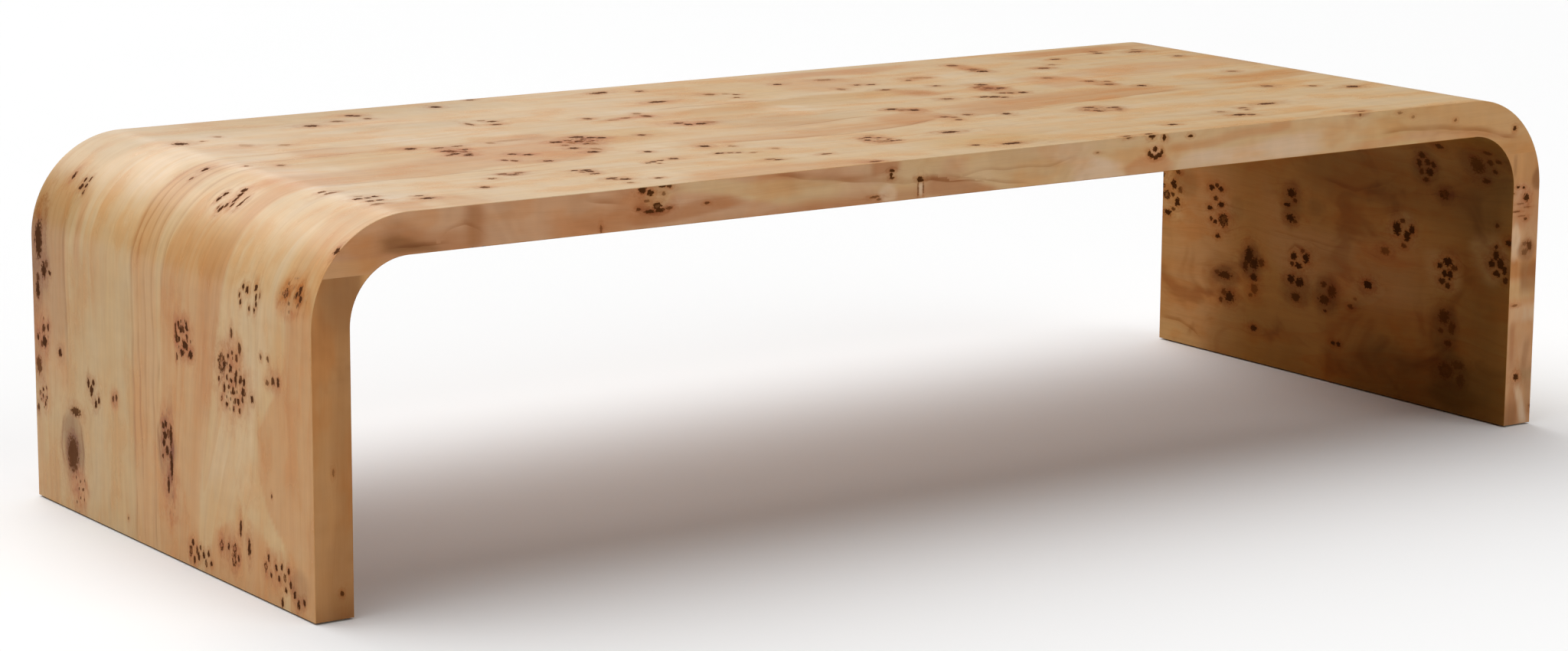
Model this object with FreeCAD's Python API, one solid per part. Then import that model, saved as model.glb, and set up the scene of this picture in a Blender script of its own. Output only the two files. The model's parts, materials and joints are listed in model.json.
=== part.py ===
import FreeCAD, Part
import math
import os

# Curved coffee table, a waterfall form: one flat top that turns down through two round bends
# into two slab legs, all of one thickness. It is a hollow panel: two skins of board over rails
# and ribs, doweled where the top and the legs meet the bends, and veneered with burl leaves.
#
# Frame: the origin is the centre of the footprint on the floor. X runs along the length with
# the left leg at -X, Y runs towards the back, and Z is up. Sizes are in millimetres.
#
# An inset is a depth below the outer face of the table, measured square to that face, so that
# one pair of insets gives the same layer on the top, round the bends and down the legs.

# Outside of the table
table_length = 1650.0
table_depth = 640.0
table_height = 400.0
slab_thickness = 43.0
bend_radius = 110.0

# Veneer
veneer_thickness = 0.6
leaf_seam_setback = 16.0
left_edge_seam_drop = 58.0
right_edge_seam_drop = 68.0
arris_radius = 0.4
underside_leaf_count = 4

# Boards and the frame between them
board_thickness = 9.0
rail_width = 45.0
foot_rail_height = 60.0
cross_rib_width = 22.0
cross_rib_count = 4

# Dowels
dowel_diameter = 8.0
dowel_length = 40.0
dowel_spacing = 22.0
dowel_chamfer = 1.0
dowel_side_clearance = 0.05
dowel_end_clearance = 1.0

# Felt under the feet
felt_thickness = 2.0
felt_inset = 8.0

# Places worked out from the sizes above
half_length = table_length / 2
half_depth = table_depth / 2
core_half_depth = half_depth - veneer_thickness
bend_x = half_length - bend_radius
bend_z = table_height - bend_radius
foot_z = felt_thickness

# Insets of the layers, from the outer face inwards
outer_board_inset = veneer_thickness
frame_inset = outer_board_inset + board_thickness
inner_veneer_inset = slab_thickness - veneer_thickness
inner_board_inset = inner_veneer_inset - board_thickness
frame_middle_inset = (frame_inset + inner_board_inset) / 2

left = -1
right = 1
side_names = {left: "left", right: "right"}
edge_seam_z = {left: table_height - left_edge_seam_drop, right: table_height - right_edge_seam_drop}
along_x = FreeCAD.Vector(1, 0, 0)
along_y = FreeCAD.Vector(0, 1, 0)
up = FreeCAD.Vector(0, 0, 1)


def box(x_range, y_range, z_range):
    """A box between two values on each axis, given in either order."""
    lows = [min(pair) for pair in (x_range, y_range, z_range)]
    highs = [max(pair) for pair in (x_range, y_range, z_range)]
    sizes = [high - low for low, high in zip(lows, highs)]
    return Part.makeBox(*sizes, FreeCAD.Vector(*lows))


def top_layer(inset_range, x_range, y_range):
    """A flat piece of the top between two insets."""
    z_range = [table_height - inset for inset in inset_range]
    return box(x_range, y_range, z_range)


def leg_layer(side, inset_range, y_range, z_range):
    """An upright piece of one leg between two insets."""
    x_range = [side * (half_length - inset) for inset in inset_range]
    return box(x_range, y_range, z_range)


def bend_point(side, inset, angle):
    """A point of one bend in the XZ plane, where angle 0 is level and a quarter turn is upright."""
    radius = bend_radius - inset
    return FreeCAD.Vector(
        side * (bend_x + radius * math.cos(angle)), 0, bend_z + radius * math.sin(angle)
    )


def bend_arc(side, inset):
    """The quarter arc of one bend at an inset."""
    angles = (0, math.pi / 4, math.pi / 2)
    return Part.Arc(*[bend_point(side, inset, angle) for angle in angles]).toShape()


def line(start, end):
    """A straight edge between two points."""
    return Part.LineSegment(start, end).toShape()


def extruded(edges, y_range):
    """The solid between two depths whose section is the closed outline of the edges."""
    face = Part.Face(Part.Wire(Part.__sortEdges__(edges)))
    face.translate(along_y * min(y_range))
    return face.extrude(along_y * (max(y_range) - min(y_range)))


def bend_layer(side, inset_range, y_range):
    """A quarter ring of one bend between two insets."""
    outer, inner = inset_range
    edges = [
        bend_arc(side, outer),
        line(bend_point(side, outer, 0), bend_point(side, inner, 0)),
        bend_arc(side, inner),
        line(bend_point(side, outer, math.pi / 2), bend_point(side, inner, math.pi / 2)),
    ]
    return extruded(edges, y_range)


def foot_point(side, inset):
    """The lower end of one leg in the XZ plane."""
    return FreeCAD.Vector(side * (half_length - inset), 0, foot_z)


def arch_line(inset):
    """The edges of the whole section line at an inset, from foot to foot."""
    edges = [line(bend_point(left, inset, math.pi / 2), bend_point(right, inset, math.pi / 2))]
    for side in (left, right):
        edges.append(bend_arc(side, inset))
        edges.append(line(foot_point(side, inset), bend_point(side, inset, 0)))
    return edges


def arch_layer(inset_range, y_range):
    """A layer that covers both legs, both bends and the top in one piece."""
    outer, inner = inset_range
    edges = arch_line(outer) + arch_line(inner)
    for side in (left, right):
        edges.append(line(foot_point(side, outer), foot_point(side, inner)))
    return extruded(edges, y_range)


def eased(solid, y_face, inset):
    """Rounds the arris of a leaf where the face at y_face meets the skin at an inset."""
    picked = [edge for edge in solid.Edges if on_arris(edge, y_face, inset)]
    return solid.makeFillet(arris_radius, picked)


def on_arris(edge, y_face, inset):
    """Whether an edge lies all along the corner line of the face at y_face and an inset."""
    middle = edge.valueAt((edge.FirstParameter + edge.LastParameter) / 2)
    points = [vertex.Point for vertex in edge.Vertexes] + [middle]
    near = arris_radius / 2
    in_face = all(abs(point.y - y_face) < near for point in points)
    return in_face and all(abs(depth_below_skin(point) - inset) < near for point in points)


def depth_below_skin(point):
    """How far a point lies below the outer face of the table."""
    x_past = abs(point.x) - bend_x
    z_past = point.z - bend_z
    if x_past > 0 and z_past > 0:
        return bend_radius - math.hypot(x_past, z_past)
    return min(half_length - abs(point.x), table_height - point.z)


def outer_leaves():
    """Two leaves that run over the whole outside and meet along one seam."""
    insets = (0, veneer_thickness)
    front = arch_layer(insets, (-half_depth, leaf_seam_setback))
    back = arch_layer(insets, (leaf_seam_setback, half_depth))
    return {
        "outer_front_leaf": eased(front, -half_depth, 0),
        "outer_back_leaf": eased(back, half_depth, 0),
    }


def inner_leaves():
    """Leaves laid across the depth: one up each leg and round its bend, the rest under the top."""
    insets = (inner_veneer_inset, slab_thickness)
    y_range = (-half_depth, half_depth)
    leaves = {}
    for side in (left, right):
        leg = leg_layer(side, insets, y_range, (foot_z, bend_z))
        bend = bend_layer(side, insets, y_range)
        leaf = leg.fuse(bend).removeSplitter()
        for y_face in y_range:
            leaf = eased(leaf, y_face, slab_thickness)
        leaves[f"inner_{side_names[side]}_leaf"] = leaf
    leaf_width = 2 * bend_x / underside_leaf_count
    for count in range(underside_leaf_count):
        start = -bend_x + count * leaf_width
        leaf = top_layer(insets, (start, start + leaf_width), y_range)
        for y_face in y_range:
            leaf = eased(leaf, y_face, slab_thickness)
        leaves[f"underside_leaf_{count + 1}"] = leaf
    return leaves


def edge_strips():
    """The strips that cover the front and back edges, jointed level across each bend."""
    strips = {}
    for name, y_face in (("front", -half_depth), ("back", half_depth)):
        y_range = (y_face, math.copysign(core_half_depth, y_face))
        band = arch_layer((veneer_thickness, inner_veneer_inset), y_range)
        top_strip = band
        for side in (left, right):
            leg_zone = box((0, side * half_length), y_range, (0, edge_seam_z[side]))
            strips[f"{name}_{side_names[side]}_edge_strip"] = band.common(leg_zone)
            top_strip = top_strip.cut(leg_zone)
        strips[f"{name}_top_edge_strip"] = top_strip
    return strips


def top_frame():
    """The boards, rails and ribs of the flat top."""
    outer_skin = (outer_board_inset, frame_inset)
    inner_skin = (inner_board_inset, inner_veneer_inset)
    frame = (frame_inset, inner_board_inset)
    x_all = (-bend_x, bend_x)
    y_all = (-core_half_depth, core_half_depth)
    between_y = (rail_width - core_half_depth, core_half_depth - rail_width)
    pieces = {
        "top_upper_board": top_layer(outer_skin, x_all, y_all),
        "top_lower_board": top_layer(inner_skin, x_all, y_all),
        "top_front_rail": top_layer(frame, x_all, (-core_half_depth, between_y[0])),
        "top_back_rail": top_layer(frame, x_all, (between_y[1], core_half_depth)),
    }
    for side in (left, right):
        x_range = (side * (bend_x - rail_width), side * bend_x)
        pieces[f"top_{side_names[side]}_end_rail"] = top_layer(frame, x_range, between_y)
    inner_length = 2 * (bend_x - rail_width)
    bay = (inner_length - cross_rib_count * cross_rib_width) / (cross_rib_count + 1)
    for count in range(cross_rib_count):
        start = rail_width - bend_x + bay + count * (bay + cross_rib_width)
        rib = top_layer(frame, (start, start + cross_rib_width), between_y)
        pieces[f"top_cross_rib_{count + 1}"] = rib
    return pieces


def rail_places():
    """The depths of the three ribs in each bend, which line up with the rails and stiles."""
    half_rail = rail_width / 2
    return {
        "front": half_rail - core_half_depth,
        "middle": 0,
        "back": core_half_depth - half_rail,
    }


def rail_span(middle):
    """The depth range of a rail or rib about its middle."""
    return (middle - rail_width / 2, middle + rail_width / 2)


def bend_frame(side):
    """The bent skins of one bend and the curved ribs between them."""
    name = f"{side_names[side]}_bend"
    y_all = (-core_half_depth, core_half_depth)
    pieces = {
        f"{name}_outer_skin": bend_layer(side, (outer_board_inset, frame_inset), y_all),
        f"{name}_inner_skin": bend_layer(side, (inner_board_inset, inner_veneer_inset), y_all),
    }
    for place, middle in rail_places().items():
        rib = bend_layer(side, (frame_inset, inner_board_inset), rail_span(middle))
        pieces[f"{name}_{place}_rib"] = rib
    return pieces


def leg_frame(side):
    """The boards, stiles and rails of one leg."""
    name = f"{side_names[side]}_leg"
    y_all = (-core_half_depth, core_half_depth)
    z_all = (foot_z, bend_z)
    frame = (frame_inset, inner_board_inset)
    foot_top = foot_z + foot_rail_height
    head_bottom = bend_z - rail_width
    between_y = (rail_width - core_half_depth, core_half_depth - rail_width)
    pieces = {
        f"{name}_outer_board": leg_layer(side, (outer_board_inset, frame_inset), y_all, z_all),
        f"{name}_inner_board": leg_layer(side, (inner_board_inset, inner_veneer_inset), y_all, z_all),
        f"{name}_foot_rail": leg_layer(side, frame, between_y, (foot_z, foot_top)),
        f"{name}_head_rail": leg_layer(side, frame, between_y, (head_bottom, bend_z)),
    }
    for place, middle in rail_places().items():
        z_range = (foot_top, head_bottom) if place == "middle" else z_all
        stile = leg_layer(side, frame, rail_span(middle), z_range)
        pieces[f"{name}_{place}_stile"] = stile
    return pieces


def dowel_joints():
    """For each joint between a bend and its neighbour: the dowels' middles and their direction."""
    reach = bend_radius - frame_middle_inset
    joints = {}
    for side in (left, right):
        top_joint = []
        leg_joint = []
        for middle in rail_places().values():
            for y in (middle - dowel_spacing / 2, middle + dowel_spacing / 2):
                top_joint.append(FreeCAD.Vector(side * bend_x, y, bend_z + reach))
                leg_joint.append(FreeCAD.Vector(side * (bend_x + reach), y, bend_z))
        joints[f"{side_names[side]}_top_dowels"] = (top_joint, along_x)
        joints[f"{side_names[side]}_leg_dowels"] = (leg_joint, up)
    return joints


def rod(middle, direction, radius, length):
    """A round rod about its middle."""
    return Part.makeCylinder(radius, length, middle - direction * (length / 2), direction)


def dowel(middle, direction):
    """One dowel with chamfered ends."""
    plain = rod(middle, direction, dowel_diameter / 2, dowel_length)
    rims = [edge for edge in plain.Edges if isinstance(edge.Curve, Part.Circle)]
    return plain.makeChamfer(dowel_chamfer, rims)


def dowel_holes():
    """The holes for every dowel, one rod across each joint."""
    radius = dowel_diameter / 2 + dowel_side_clearance
    length = dowel_length + 2 * dowel_end_clearance
    holes = []
    for middles, direction in dowel_joints().values():
        holes += [rod(middle, direction, radius, length) for middle in middles]
    return holes


def bored(pieces):
    """The frame pieces with the dowel holes that reach them."""
    holes = dowel_holes()
    result = {}
    for name, piece in pieces.items():
        near = [hole for hole in holes if piece.BoundBox.intersect(hole.BoundBox)]
        for hole in near:
            if piece.common(hole).Volume > 0:
                piece = piece.cut(hole)
        result[name] = piece
    return result


def dowels():
    """The dowels of each joint as one group of separate solids."""
    groups = {}
    for name, (middles, direction) in dowel_joints().items():
        groups[name] = Part.makeCompound([dowel(middle, direction) for middle in middles])
    return groups


def felt_strips():
    """A thin felt strip under each leg, set in from all four sides."""
    strips = {}
    y_reach = half_depth - felt_inset
    for side in (left, right):
        insets = (felt_inset, slab_thickness - felt_inset)
        strip = leg_layer(side, insets, (-y_reach, y_reach), (0, felt_thickness))
        strips[f"{side_names[side]}_felt_strip"] = strip
    return strips


def build():
    """Every node of the table by name."""
    frame = top_frame()
    for side in (left, right):
        frame.update(bend_frame(side))
        frame.update(leg_frame(side))
    nodes = bored(frame)
    nodes.update(dowels())
    nodes.update(outer_leaves())
    nodes.update(inner_leaves())
    nodes.update(edge_strips())
    nodes.update(felt_strips())
    return nodes


os.makedirs("parts", exist_ok=True)
for node, shape in build().items():
    print(node, "solids", len(shape.Solids), "valid", shape.isValid(), "volume", round(shape.Volume))
    shape.exportStep(f"parts/{node}.step")
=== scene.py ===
import json
import math
import random

import bmesh
import bpy
import numpy as np
from bpy.props import FloatProperty, FloatVectorProperty, IntProperty, PointerProperty
from mathutils import Euler, Matrix, Vector


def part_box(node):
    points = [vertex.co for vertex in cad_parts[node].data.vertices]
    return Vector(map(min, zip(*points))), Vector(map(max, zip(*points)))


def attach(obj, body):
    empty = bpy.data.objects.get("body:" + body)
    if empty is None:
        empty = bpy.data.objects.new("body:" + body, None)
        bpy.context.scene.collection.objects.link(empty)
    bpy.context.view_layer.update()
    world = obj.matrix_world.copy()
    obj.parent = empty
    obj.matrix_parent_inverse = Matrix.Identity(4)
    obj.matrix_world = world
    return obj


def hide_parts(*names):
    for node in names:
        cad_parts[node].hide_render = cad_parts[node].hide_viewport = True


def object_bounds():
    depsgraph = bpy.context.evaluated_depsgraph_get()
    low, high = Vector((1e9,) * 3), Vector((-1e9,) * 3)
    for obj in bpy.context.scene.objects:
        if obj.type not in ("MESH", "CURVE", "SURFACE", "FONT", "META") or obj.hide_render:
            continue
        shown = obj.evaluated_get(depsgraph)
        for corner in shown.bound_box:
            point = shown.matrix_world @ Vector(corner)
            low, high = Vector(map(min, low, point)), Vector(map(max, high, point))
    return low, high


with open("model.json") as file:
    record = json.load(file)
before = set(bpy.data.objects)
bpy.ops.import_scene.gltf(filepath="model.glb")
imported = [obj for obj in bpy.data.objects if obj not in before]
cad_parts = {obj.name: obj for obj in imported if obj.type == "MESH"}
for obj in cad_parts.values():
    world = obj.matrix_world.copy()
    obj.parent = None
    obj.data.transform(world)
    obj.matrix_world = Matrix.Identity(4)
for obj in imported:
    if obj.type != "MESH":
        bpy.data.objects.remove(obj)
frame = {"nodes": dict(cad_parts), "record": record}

bl_info = {
    "name": "Curved Coffee Table",
    "version": (1, 0, 0),
    "blender": (4, 5, 0),
    "location": "View3D > Sidebar > Table",
    "description": "Lays the burl veneer, the edge strips and the felt on a waterfall coffee table",
    "category": "Object",
}

# The table's sizes, read from the frame, in metres
CAD_LOW, CAD_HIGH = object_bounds()
HALF_LENGTH = CAD_HIGH.x
HALF_DEPTH = CAD_HIGH.y
TOP_Z = CAD_HIGH.z
FOOT_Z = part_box("left_felt_strip")[1].z
BEND_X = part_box("top_upper_board")[1].x
BEND_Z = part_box("right_leg_outer_board")[1].z
BEND_RADIUS = HALF_LENGTH - BEND_X
VENEER = TOP_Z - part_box("top_upper_board")[1].z
SLAB = TOP_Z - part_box("underside_leaf_1")[0].z
LEAF_SEAM_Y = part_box("outer_front_leaf")[1].y
LEFT, RIGHT = -1, 1
SIDE_NAMES = {LEFT: "left", RIGHT: "right"}
UNDERSIDE_LEAVES = sum(name.startswith("underside_leaf") for name in frame["nodes"])
EDGE_SEAM_Z = {side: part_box(f"front_{SIDE_NAMES[side]}_edge_strip")[1].z for side in (LEFT, RIGHT)}

MM = 0.001
QUARTER_TURN = math.pi / 2
# The cells that one extruded part is cut into at most
CELLS_PER_PART = 90

# How many of its nearest burl eyes each face draws
EYES_PER_FACE = 3
# How far a grain line takes to fade in at its ends, in millimetres
LINE_FADE = 30
# Further than any eye or line reaches, in millimetres or widths
FAR = 1000.0
# How far the wood round an eye is curly, in half-lengths and half-widths, and how strongly
CURLY_LENGTHS, CURLY_WIDTHS = 4.5, 2.8
CURLY_SHARE = 0.55
# How many places are tried for each eye of a cluster
TRIES_PER_EYE = 40
# Vertices closer than this are merged, and faces that meet at less than this angle are shaded smooth
MERGE_WITHIN = 0.005 * MM
SMOOTH_UNDER = math.radians(40)
# The floor's length and width, in metres
FLOOR_SIZE = 60


class TableSizes(bpy.types.PropertyGroup):
    arris: FloatProperty(
        name="Arris", description="Rounding of the veneer where two faces meet",
        default=0.4 * MM, min=0, max=VENEER, precision=4, unit="LENGTH")
    seam_ease: FloatProperty(
        name="Seam ease", description="Easing of each leaf along the seam between the leaves",
        default=0.06 * MM, min=0, max=VENEER, precision=5, unit="LENGTH")
    cell: FloatProperty(
        name="Cell", description="Size of the mesh cells that carry the figure of the wood",
        default=5 * MM, min=2 * MM, precision=4, unit="LENGTH")
    bend_steps: IntProperty(
        name="Bend steps", description="Facets round each bend", default=36, min=12)
    felt_round: FloatProperty(
        name="Felt rounding", description="Rounding of the felt strips' edges",
        default=0.5 * MM, min=0, precision=4, unit="LENGTH")


class TableColours(bpy.types.PropertyGroup):
    cream: FloatVectorProperty(
        name="Cream", description="Plain sapwood", subtype="COLOR", default=(0.62, 0.415, 0.212))
    # Pale also paints sheen over the top of the outer leaves and towards its front; honey, below, is also
    # painted over the left leg and along the back of the top, making them warmer where less sheen falls.
    pale: FloatVectorProperty(
        name="Pale", description="Palest sapwood", subtype="COLOR", default=(0.67, 0.48, 0.285))
    honey: FloatVectorProperty(
        name="Honey", description="Warm pale wood", subtype="COLOR", default=(0.575, 0.35, 0.138))
    tan: FloatVectorProperty(
        name="Tan", description="Tan bands", subtype="COLOR", default=(0.55, 0.275, 0.10))
    pink: FloatVectorProperty(
        name="Pink", description="Pinkish bands", subtype="COLOR", default=(0.60, 0.33, 0.155))
    orange: FloatVectorProperty(
        name="Orange", description="Orange bands", subtype="COLOR", default=(0.52, 0.235, 0.08))
    # Olive also paints shade that dims the sheen on the left bend and along the back of the top's left part.
    olive: FloatVectorProperty(
        name="Olive", description="Grey-green wood round old knots", subtype="COLOR",
        default=(0.31, 0.205, 0.085))
    brown: FloatVectorProperty(
        name="Brown", description="Brown edge strips and grain lines", subtype="COLOR",
        default=(0.27, 0.115, 0.038))
    bark: FloatVectorProperty(
        name="Bark", description="Cores of the burl eyes", subtype="COLOR",
        default=(0.07, 0.021, 0.003))
    rose: FloatVectorProperty(
        name="Rose", description="Pinkish wood of the edges", subtype="COLOR", default=(0.56, 0.305, 0.165))
    # Blush also paints the highlight on the top just past the left bend.
    blush: FloatVectorProperty(
        name="Blush", description="Palest wood of the edges", subtype="COLOR", default=(0.70, 0.51, 0.34))
    russet: FloatVectorProperty(
        name="Russet", description="Reddish brown wood of the edges", subtype="COLOR",
        default=(0.45, 0.19, 0.075))
    # Umber also paints shade on the inner right leaf: darker towards the front, the bottom and under the top.
    umber: FloatVectorProperty(
        name="Umber", description="Darkest wood of the inner leaves", subtype="COLOR",
        default=(0.155, 0.066, 0.011))
    # Amber is the ground of all inner leaves: partly their wood's tone, partly painted shade of the space
    # under the table.
    amber: FloatVectorProperty(
        name="Amber", description="Darker wood of the inner leaves", subtype="COLOR",
        default=(0.37, 0.157, 0.03))
    felt: FloatVectorProperty(
        name="Felt", description="Felt under the feet", subtype="COLOR",
        default=(0.045, 0.036, 0.03))
    floor: FloatVectorProperty(
        name="Floor", description="Plain pale floor", subtype="COLOR", default=(0.83, 0.83, 0.83))


class StageSettings(bpy.types.PropertyGroup):
    key: FloatProperty(
        name="Key light", description="Strength of the soft light from above, behind the left leg",
        default=3.3, min=0)
    back: FloatProperty(
        name="Back light", description="Strength of the low light behind the table, seen as its sheen",
        default=0.60, min=0)
    fill: FloatProperty(
        name="Fill light", description="Strength of the soft light in front, from the right",
        default=0.85, min=0)
    sky: FloatProperty(
        name="Sky", description="Strength of the even light from all round", default=0.05, min=0)


def sizes():
    return bpy.context.scene.table_sizes


def colours():
    return bpy.context.scene.table_colours


# Modelling

def start_piece(name, add_primitive, place, size):
    """Adds a primitive at its size and place, with its place in its mesh, and opens it in edit mode."""
    if bpy.context.mode != "OBJECT":
        bpy.ops.object.mode_set(mode="OBJECT")
    bpy.ops.object.select_all(action="DESELECT")
    add_primitive(size=1, location=place)
    piece = bpy.context.object
    piece.name = name
    piece.data.name = name
    piece.scale = size
    bpy.ops.object.transform_apply(location=True, rotation=True, scale=True)
    bpy.ops.object.mode_set(mode="EDIT")
    return piece


def pick(piece, kind, test):
    """In edit mode, selects the vertices, edges or faces that pass a test, and nothing else."""
    bpy.ops.mesh.select_mode(type={"verts": "VERT", "edges": "EDGE", "faces": "FACE"}[kind])
    bpy.ops.mesh.select_all(action="DESELECT")
    mesh = bmesh.from_edit_mesh(piece.data)
    for part in getattr(mesh, kind):
        if test(part):
            part.select_set(True)
    mesh.select_flush_mode()
    bmesh.update_edit_mesh(piece.data)


def runs_along(edge, axis, at_least):
    """Whether an edge runs straight along one axis and is at least so long."""
    span = edge.verts[1].co - edge.verts[0].co
    return abs(span[axis]) >= at_least and span.length < abs(span[axis]) * 1.001


def cut_along(piece, axis, length, cell):
    """Cuts every edge of one length that runs along an axis into cells."""
    cuts = math.ceil(length / cell) - 1
    if cuts > 0:
        pick(piece, "edges", lambda edge: runs_along(edge, axis, length * 0.98))
        bpy.ops.mesh.subdivide(number_cuts=cuts)


def ease_corner(piece, x, y, radius):
    """Rounds the corner of the flat section at one point."""
    near = sizes().arris / 4
    pick(piece, "verts", lambda vertex: math.hypot(vertex.co.x - x, vertex.co.y - y) < near)
    bpy.ops.mesh.bevel(offset=radius, segments=3, affect="VERTICES")


def push(direction, length, cell):
    """Extrudes the selected section along a straight stretch, in even parts. Gives their axis and length."""
    axis = max(range(3), key=lambda count: abs(direction[count]))
    parts = math.ceil(length / (CELLS_PER_PART * cell))
    for _ in range(parts):
        move = Vector(direction) * (length / parts)
        bpy.ops.mesh.extrude_region_move(TRANSFORM_OT_translate={"value": move})
    return axis, length / parts


def turn(side, end_side):
    """Spins the selected section round one bend, upwards from the left leg or down to the right one."""
    bpy.ops.mesh.spin(
        steps=sizes().bend_steps, angle=side * QUARTER_TURN,
        center=(end_side * BEND_X, 0, BEND_Z), axis=(0, 1, 0))


def finish_piece(piece, node, material):
    """Closes the mesh, points its faces outwards, shades it and sets it in the frame."""
    bpy.ops.mesh.select_mode(type="VERT")
    bpy.ops.mesh.select_all(action="SELECT")
    bpy.ops.mesh.remove_doubles(threshold=MERGE_WITHIN)
    bpy.ops.mesh.normals_make_consistent(inside=False)
    bpy.ops.object.mode_set(mode="OBJECT")
    bpy.ops.object.shade_smooth_by_angle(angle=SMOOTH_UNDER)
    bpy.ops.object.modifier_add(type="WEIGHTED_NORMAL")
    piece.modifiers[-1].keep_sharp = True
    bpy.ops.object.modifier_apply(modifier=piece.modifiers[-1].name)
    piece.data.materials.clear()
    piece.data.materials.append(material)
    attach(piece, "root")
    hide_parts(node)
    return piece


def slab_run(node, side, insets, y_range, stretches, eased=(), cell=None):
    """A layer of the slab between two insets that starts on one side and runs through the named stretches.

    The stretches are leg, bend, top, far bend and far leg. Each eased corner of its section is
    a depth, an inset and a radius.
    """
    cell = cell or sizes().cell
    outer, inner = insets
    leg_length = BEND_Z - FOOT_Z
    start_z = FOOT_Z if stretches[0] == "leg" else BEND_Z
    middle_x = side * (HALF_LENGTH - (outer + inner) / 2)
    piece = start_piece(
        f"{node}_finished", bpy.ops.mesh.primitive_plane_add,
        (middle_x, sum(y_range) / 2, start_z), (inner - outer, y_range[1] - y_range[0], 1))
    cut_along(piece, 1, y_range[1] - y_range[0], cell)
    cut_along(piece, 0, inner - outer, cell)
    for y, inset, radius in eased:
        ease_corner(piece, side * (HALF_LENGTH - inset), y, radius)
    pick(piece, "faces", lambda face: True)
    straight = set()
    for stretch in stretches:
        if stretch == "leg":
            straight.add(push((0, 0, 1), leg_length, cell))
        elif stretch == "bend":
            turn(side, side)
        elif stretch == "top":
            straight.add(push((-side, 0, 0), 2 * BEND_X, cell))
        elif stretch == "far bend":
            turn(side, -side)
        else:
            straight.add(push((0, 0, -1), leg_length, cell))
    for axis, length in straight:
        cut_along(piece, axis, length, cell)
    return piece


def trim_level(piece, side, z, keep_upper):
    """Cuts the half of a piece on one side of the table level at z, and closes the cut."""
    pick(piece, "faces", lambda face: face.calc_center_median().x * side > 0)
    bpy.ops.mesh.bisect(
        plane_co=(0, 0, z), plane_no=(0, 0, 1), use_fill=True,
        clear_inner=keep_upper, clear_outer=not keep_upper)


# Figure of the wood

def strip_places(points):
    """Level grain: along the length and up."""
    return points[:, 0], points[:, 2]


def upright_places(points):
    """Upright grain: up and along the length."""
    return points[:, 2], points[:, 0]


def turned_round(places):
    """The same places on the back edge, as if the table were turned half round."""
    return lambda points: places(points * (-1, 1, 1))


def inner_places(points):
    """Grain across the depth: along the depth, and up the leg and on round the inside of the bend."""
    past_x = BEND_X - np.abs(points[:, 0])
    past_z = np.maximum(points[:, 2] - BEND_Z, 0)
    inside = BEND_RADIUS - SLAB
    turned = np.where(past_z > 0, inside * np.arctan2(past_z, -past_x), 0)
    return points[:, 1], np.minimum(points[:, 2], BEND_Z) + turned


def underside_places(points):
    """Grain across the depth: along the depth and along the length."""
    return points[:, 1], points[:, 0]


def profile_places(points):
    """For each point, how far it lies along the outer profile from the middle of the top, and its depth."""
    side = np.sign(points[:, 0])
    past_x = np.maximum(np.abs(points[:, 0]) - BEND_X, 0)
    past_z = np.maximum(points[:, 2] - BEND_Z, 0)
    below = np.maximum(BEND_Z - points[:, 2], 0)
    along_flat = np.minimum(np.abs(points[:, 0]), BEND_X)
    along_bend = np.where(past_x > 0, BEND_RADIUS * np.arctan2(past_x, past_z), 0)
    return side * (along_flat + along_bend + below), points[:, 1]


def ripple(u, v, length, seed):
    """A smooth wandering value between about -1 and 1, with waves of about one length."""
    draw = random.Random(seed)
    total = np.zeros_like(u)
    for _ in range(5):
        heading = draw.uniform(0, math.tau)
        pace = math.tau / length * draw.uniform(0.6, 1.6)
        total += np.sin(pace * (u * math.cos(heading) + v * math.sin(heading)) + draw.uniform(0, math.tau))
    return total / 2.5


def step(value, low, high):
    """0 below low, 1 above high and smooth between."""
    share = np.clip((value - low) / (high - low), 0, 1)
    return share * share * (3 - 2 * share)


def band_mask(u, v, band):
    """How strongly a band covers each place: its edges follow its points, and its ends fade."""
    strength, soft_low, soft_high, fade, points = band[1:]
    along, low, high = (np.array(column, float) for column in zip(*points))
    wander = ripple(u, v * 2, 160, len(points) + int(abs(along[0]))) * 3
    low_edge = np.interp(u, along, low) + wander
    high_edge = np.interp(u, along, high) + wander
    mask = step(v, low_edge - soft_low / 2, low_edge + soft_low / 2)
    mask *= step(-v, -high_edge - soft_high / 2, -high_edge + soft_high / 2)
    mask *= step(u, along[0] - fade, along[0] + fade) * step(-u, -along[-1] - fade, -along[-1] + fade)
    return mask * strength


def patch_mask(u, v, patch):
    """How strongly an oval patch covers each place."""
    strength, patch_u, patch_v, reach_u, reach_v = patch[1:]
    wander = ripple(u, v, 30 + reach_v, int(abs(patch_u))) * 0.12
    distance = np.hypot((u - patch_u) / reach_u, (v - patch_v) / reach_v) + wander
    return step(-distance, -1.25, -0.6) * strength


def grain_level(u, v, flows, eyes):
    """The level whose even lines are the grain: straight lines bent by flows and pushed round the eyes."""
    level = v.copy()
    for flow_u, flow_v, reach_u, reach_v, rise in flows:
        level -= rise * np.exp(-(((u - flow_u) / reach_u) ** 2) - ((v - flow_v) / reach_v) ** 2)
    for eye_u, eye_v, half_u, half_v, *_ in eyes:
        gap_v = v - eye_v
        bulge = np.exp(-(((u - eye_u) / (half_u * 2.2 + 3)) ** 2) - (gap_v / (half_v * 2.2 + 3)) ** 2)
        level -= gap_v * 0.75 * bulge
    return level


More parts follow.
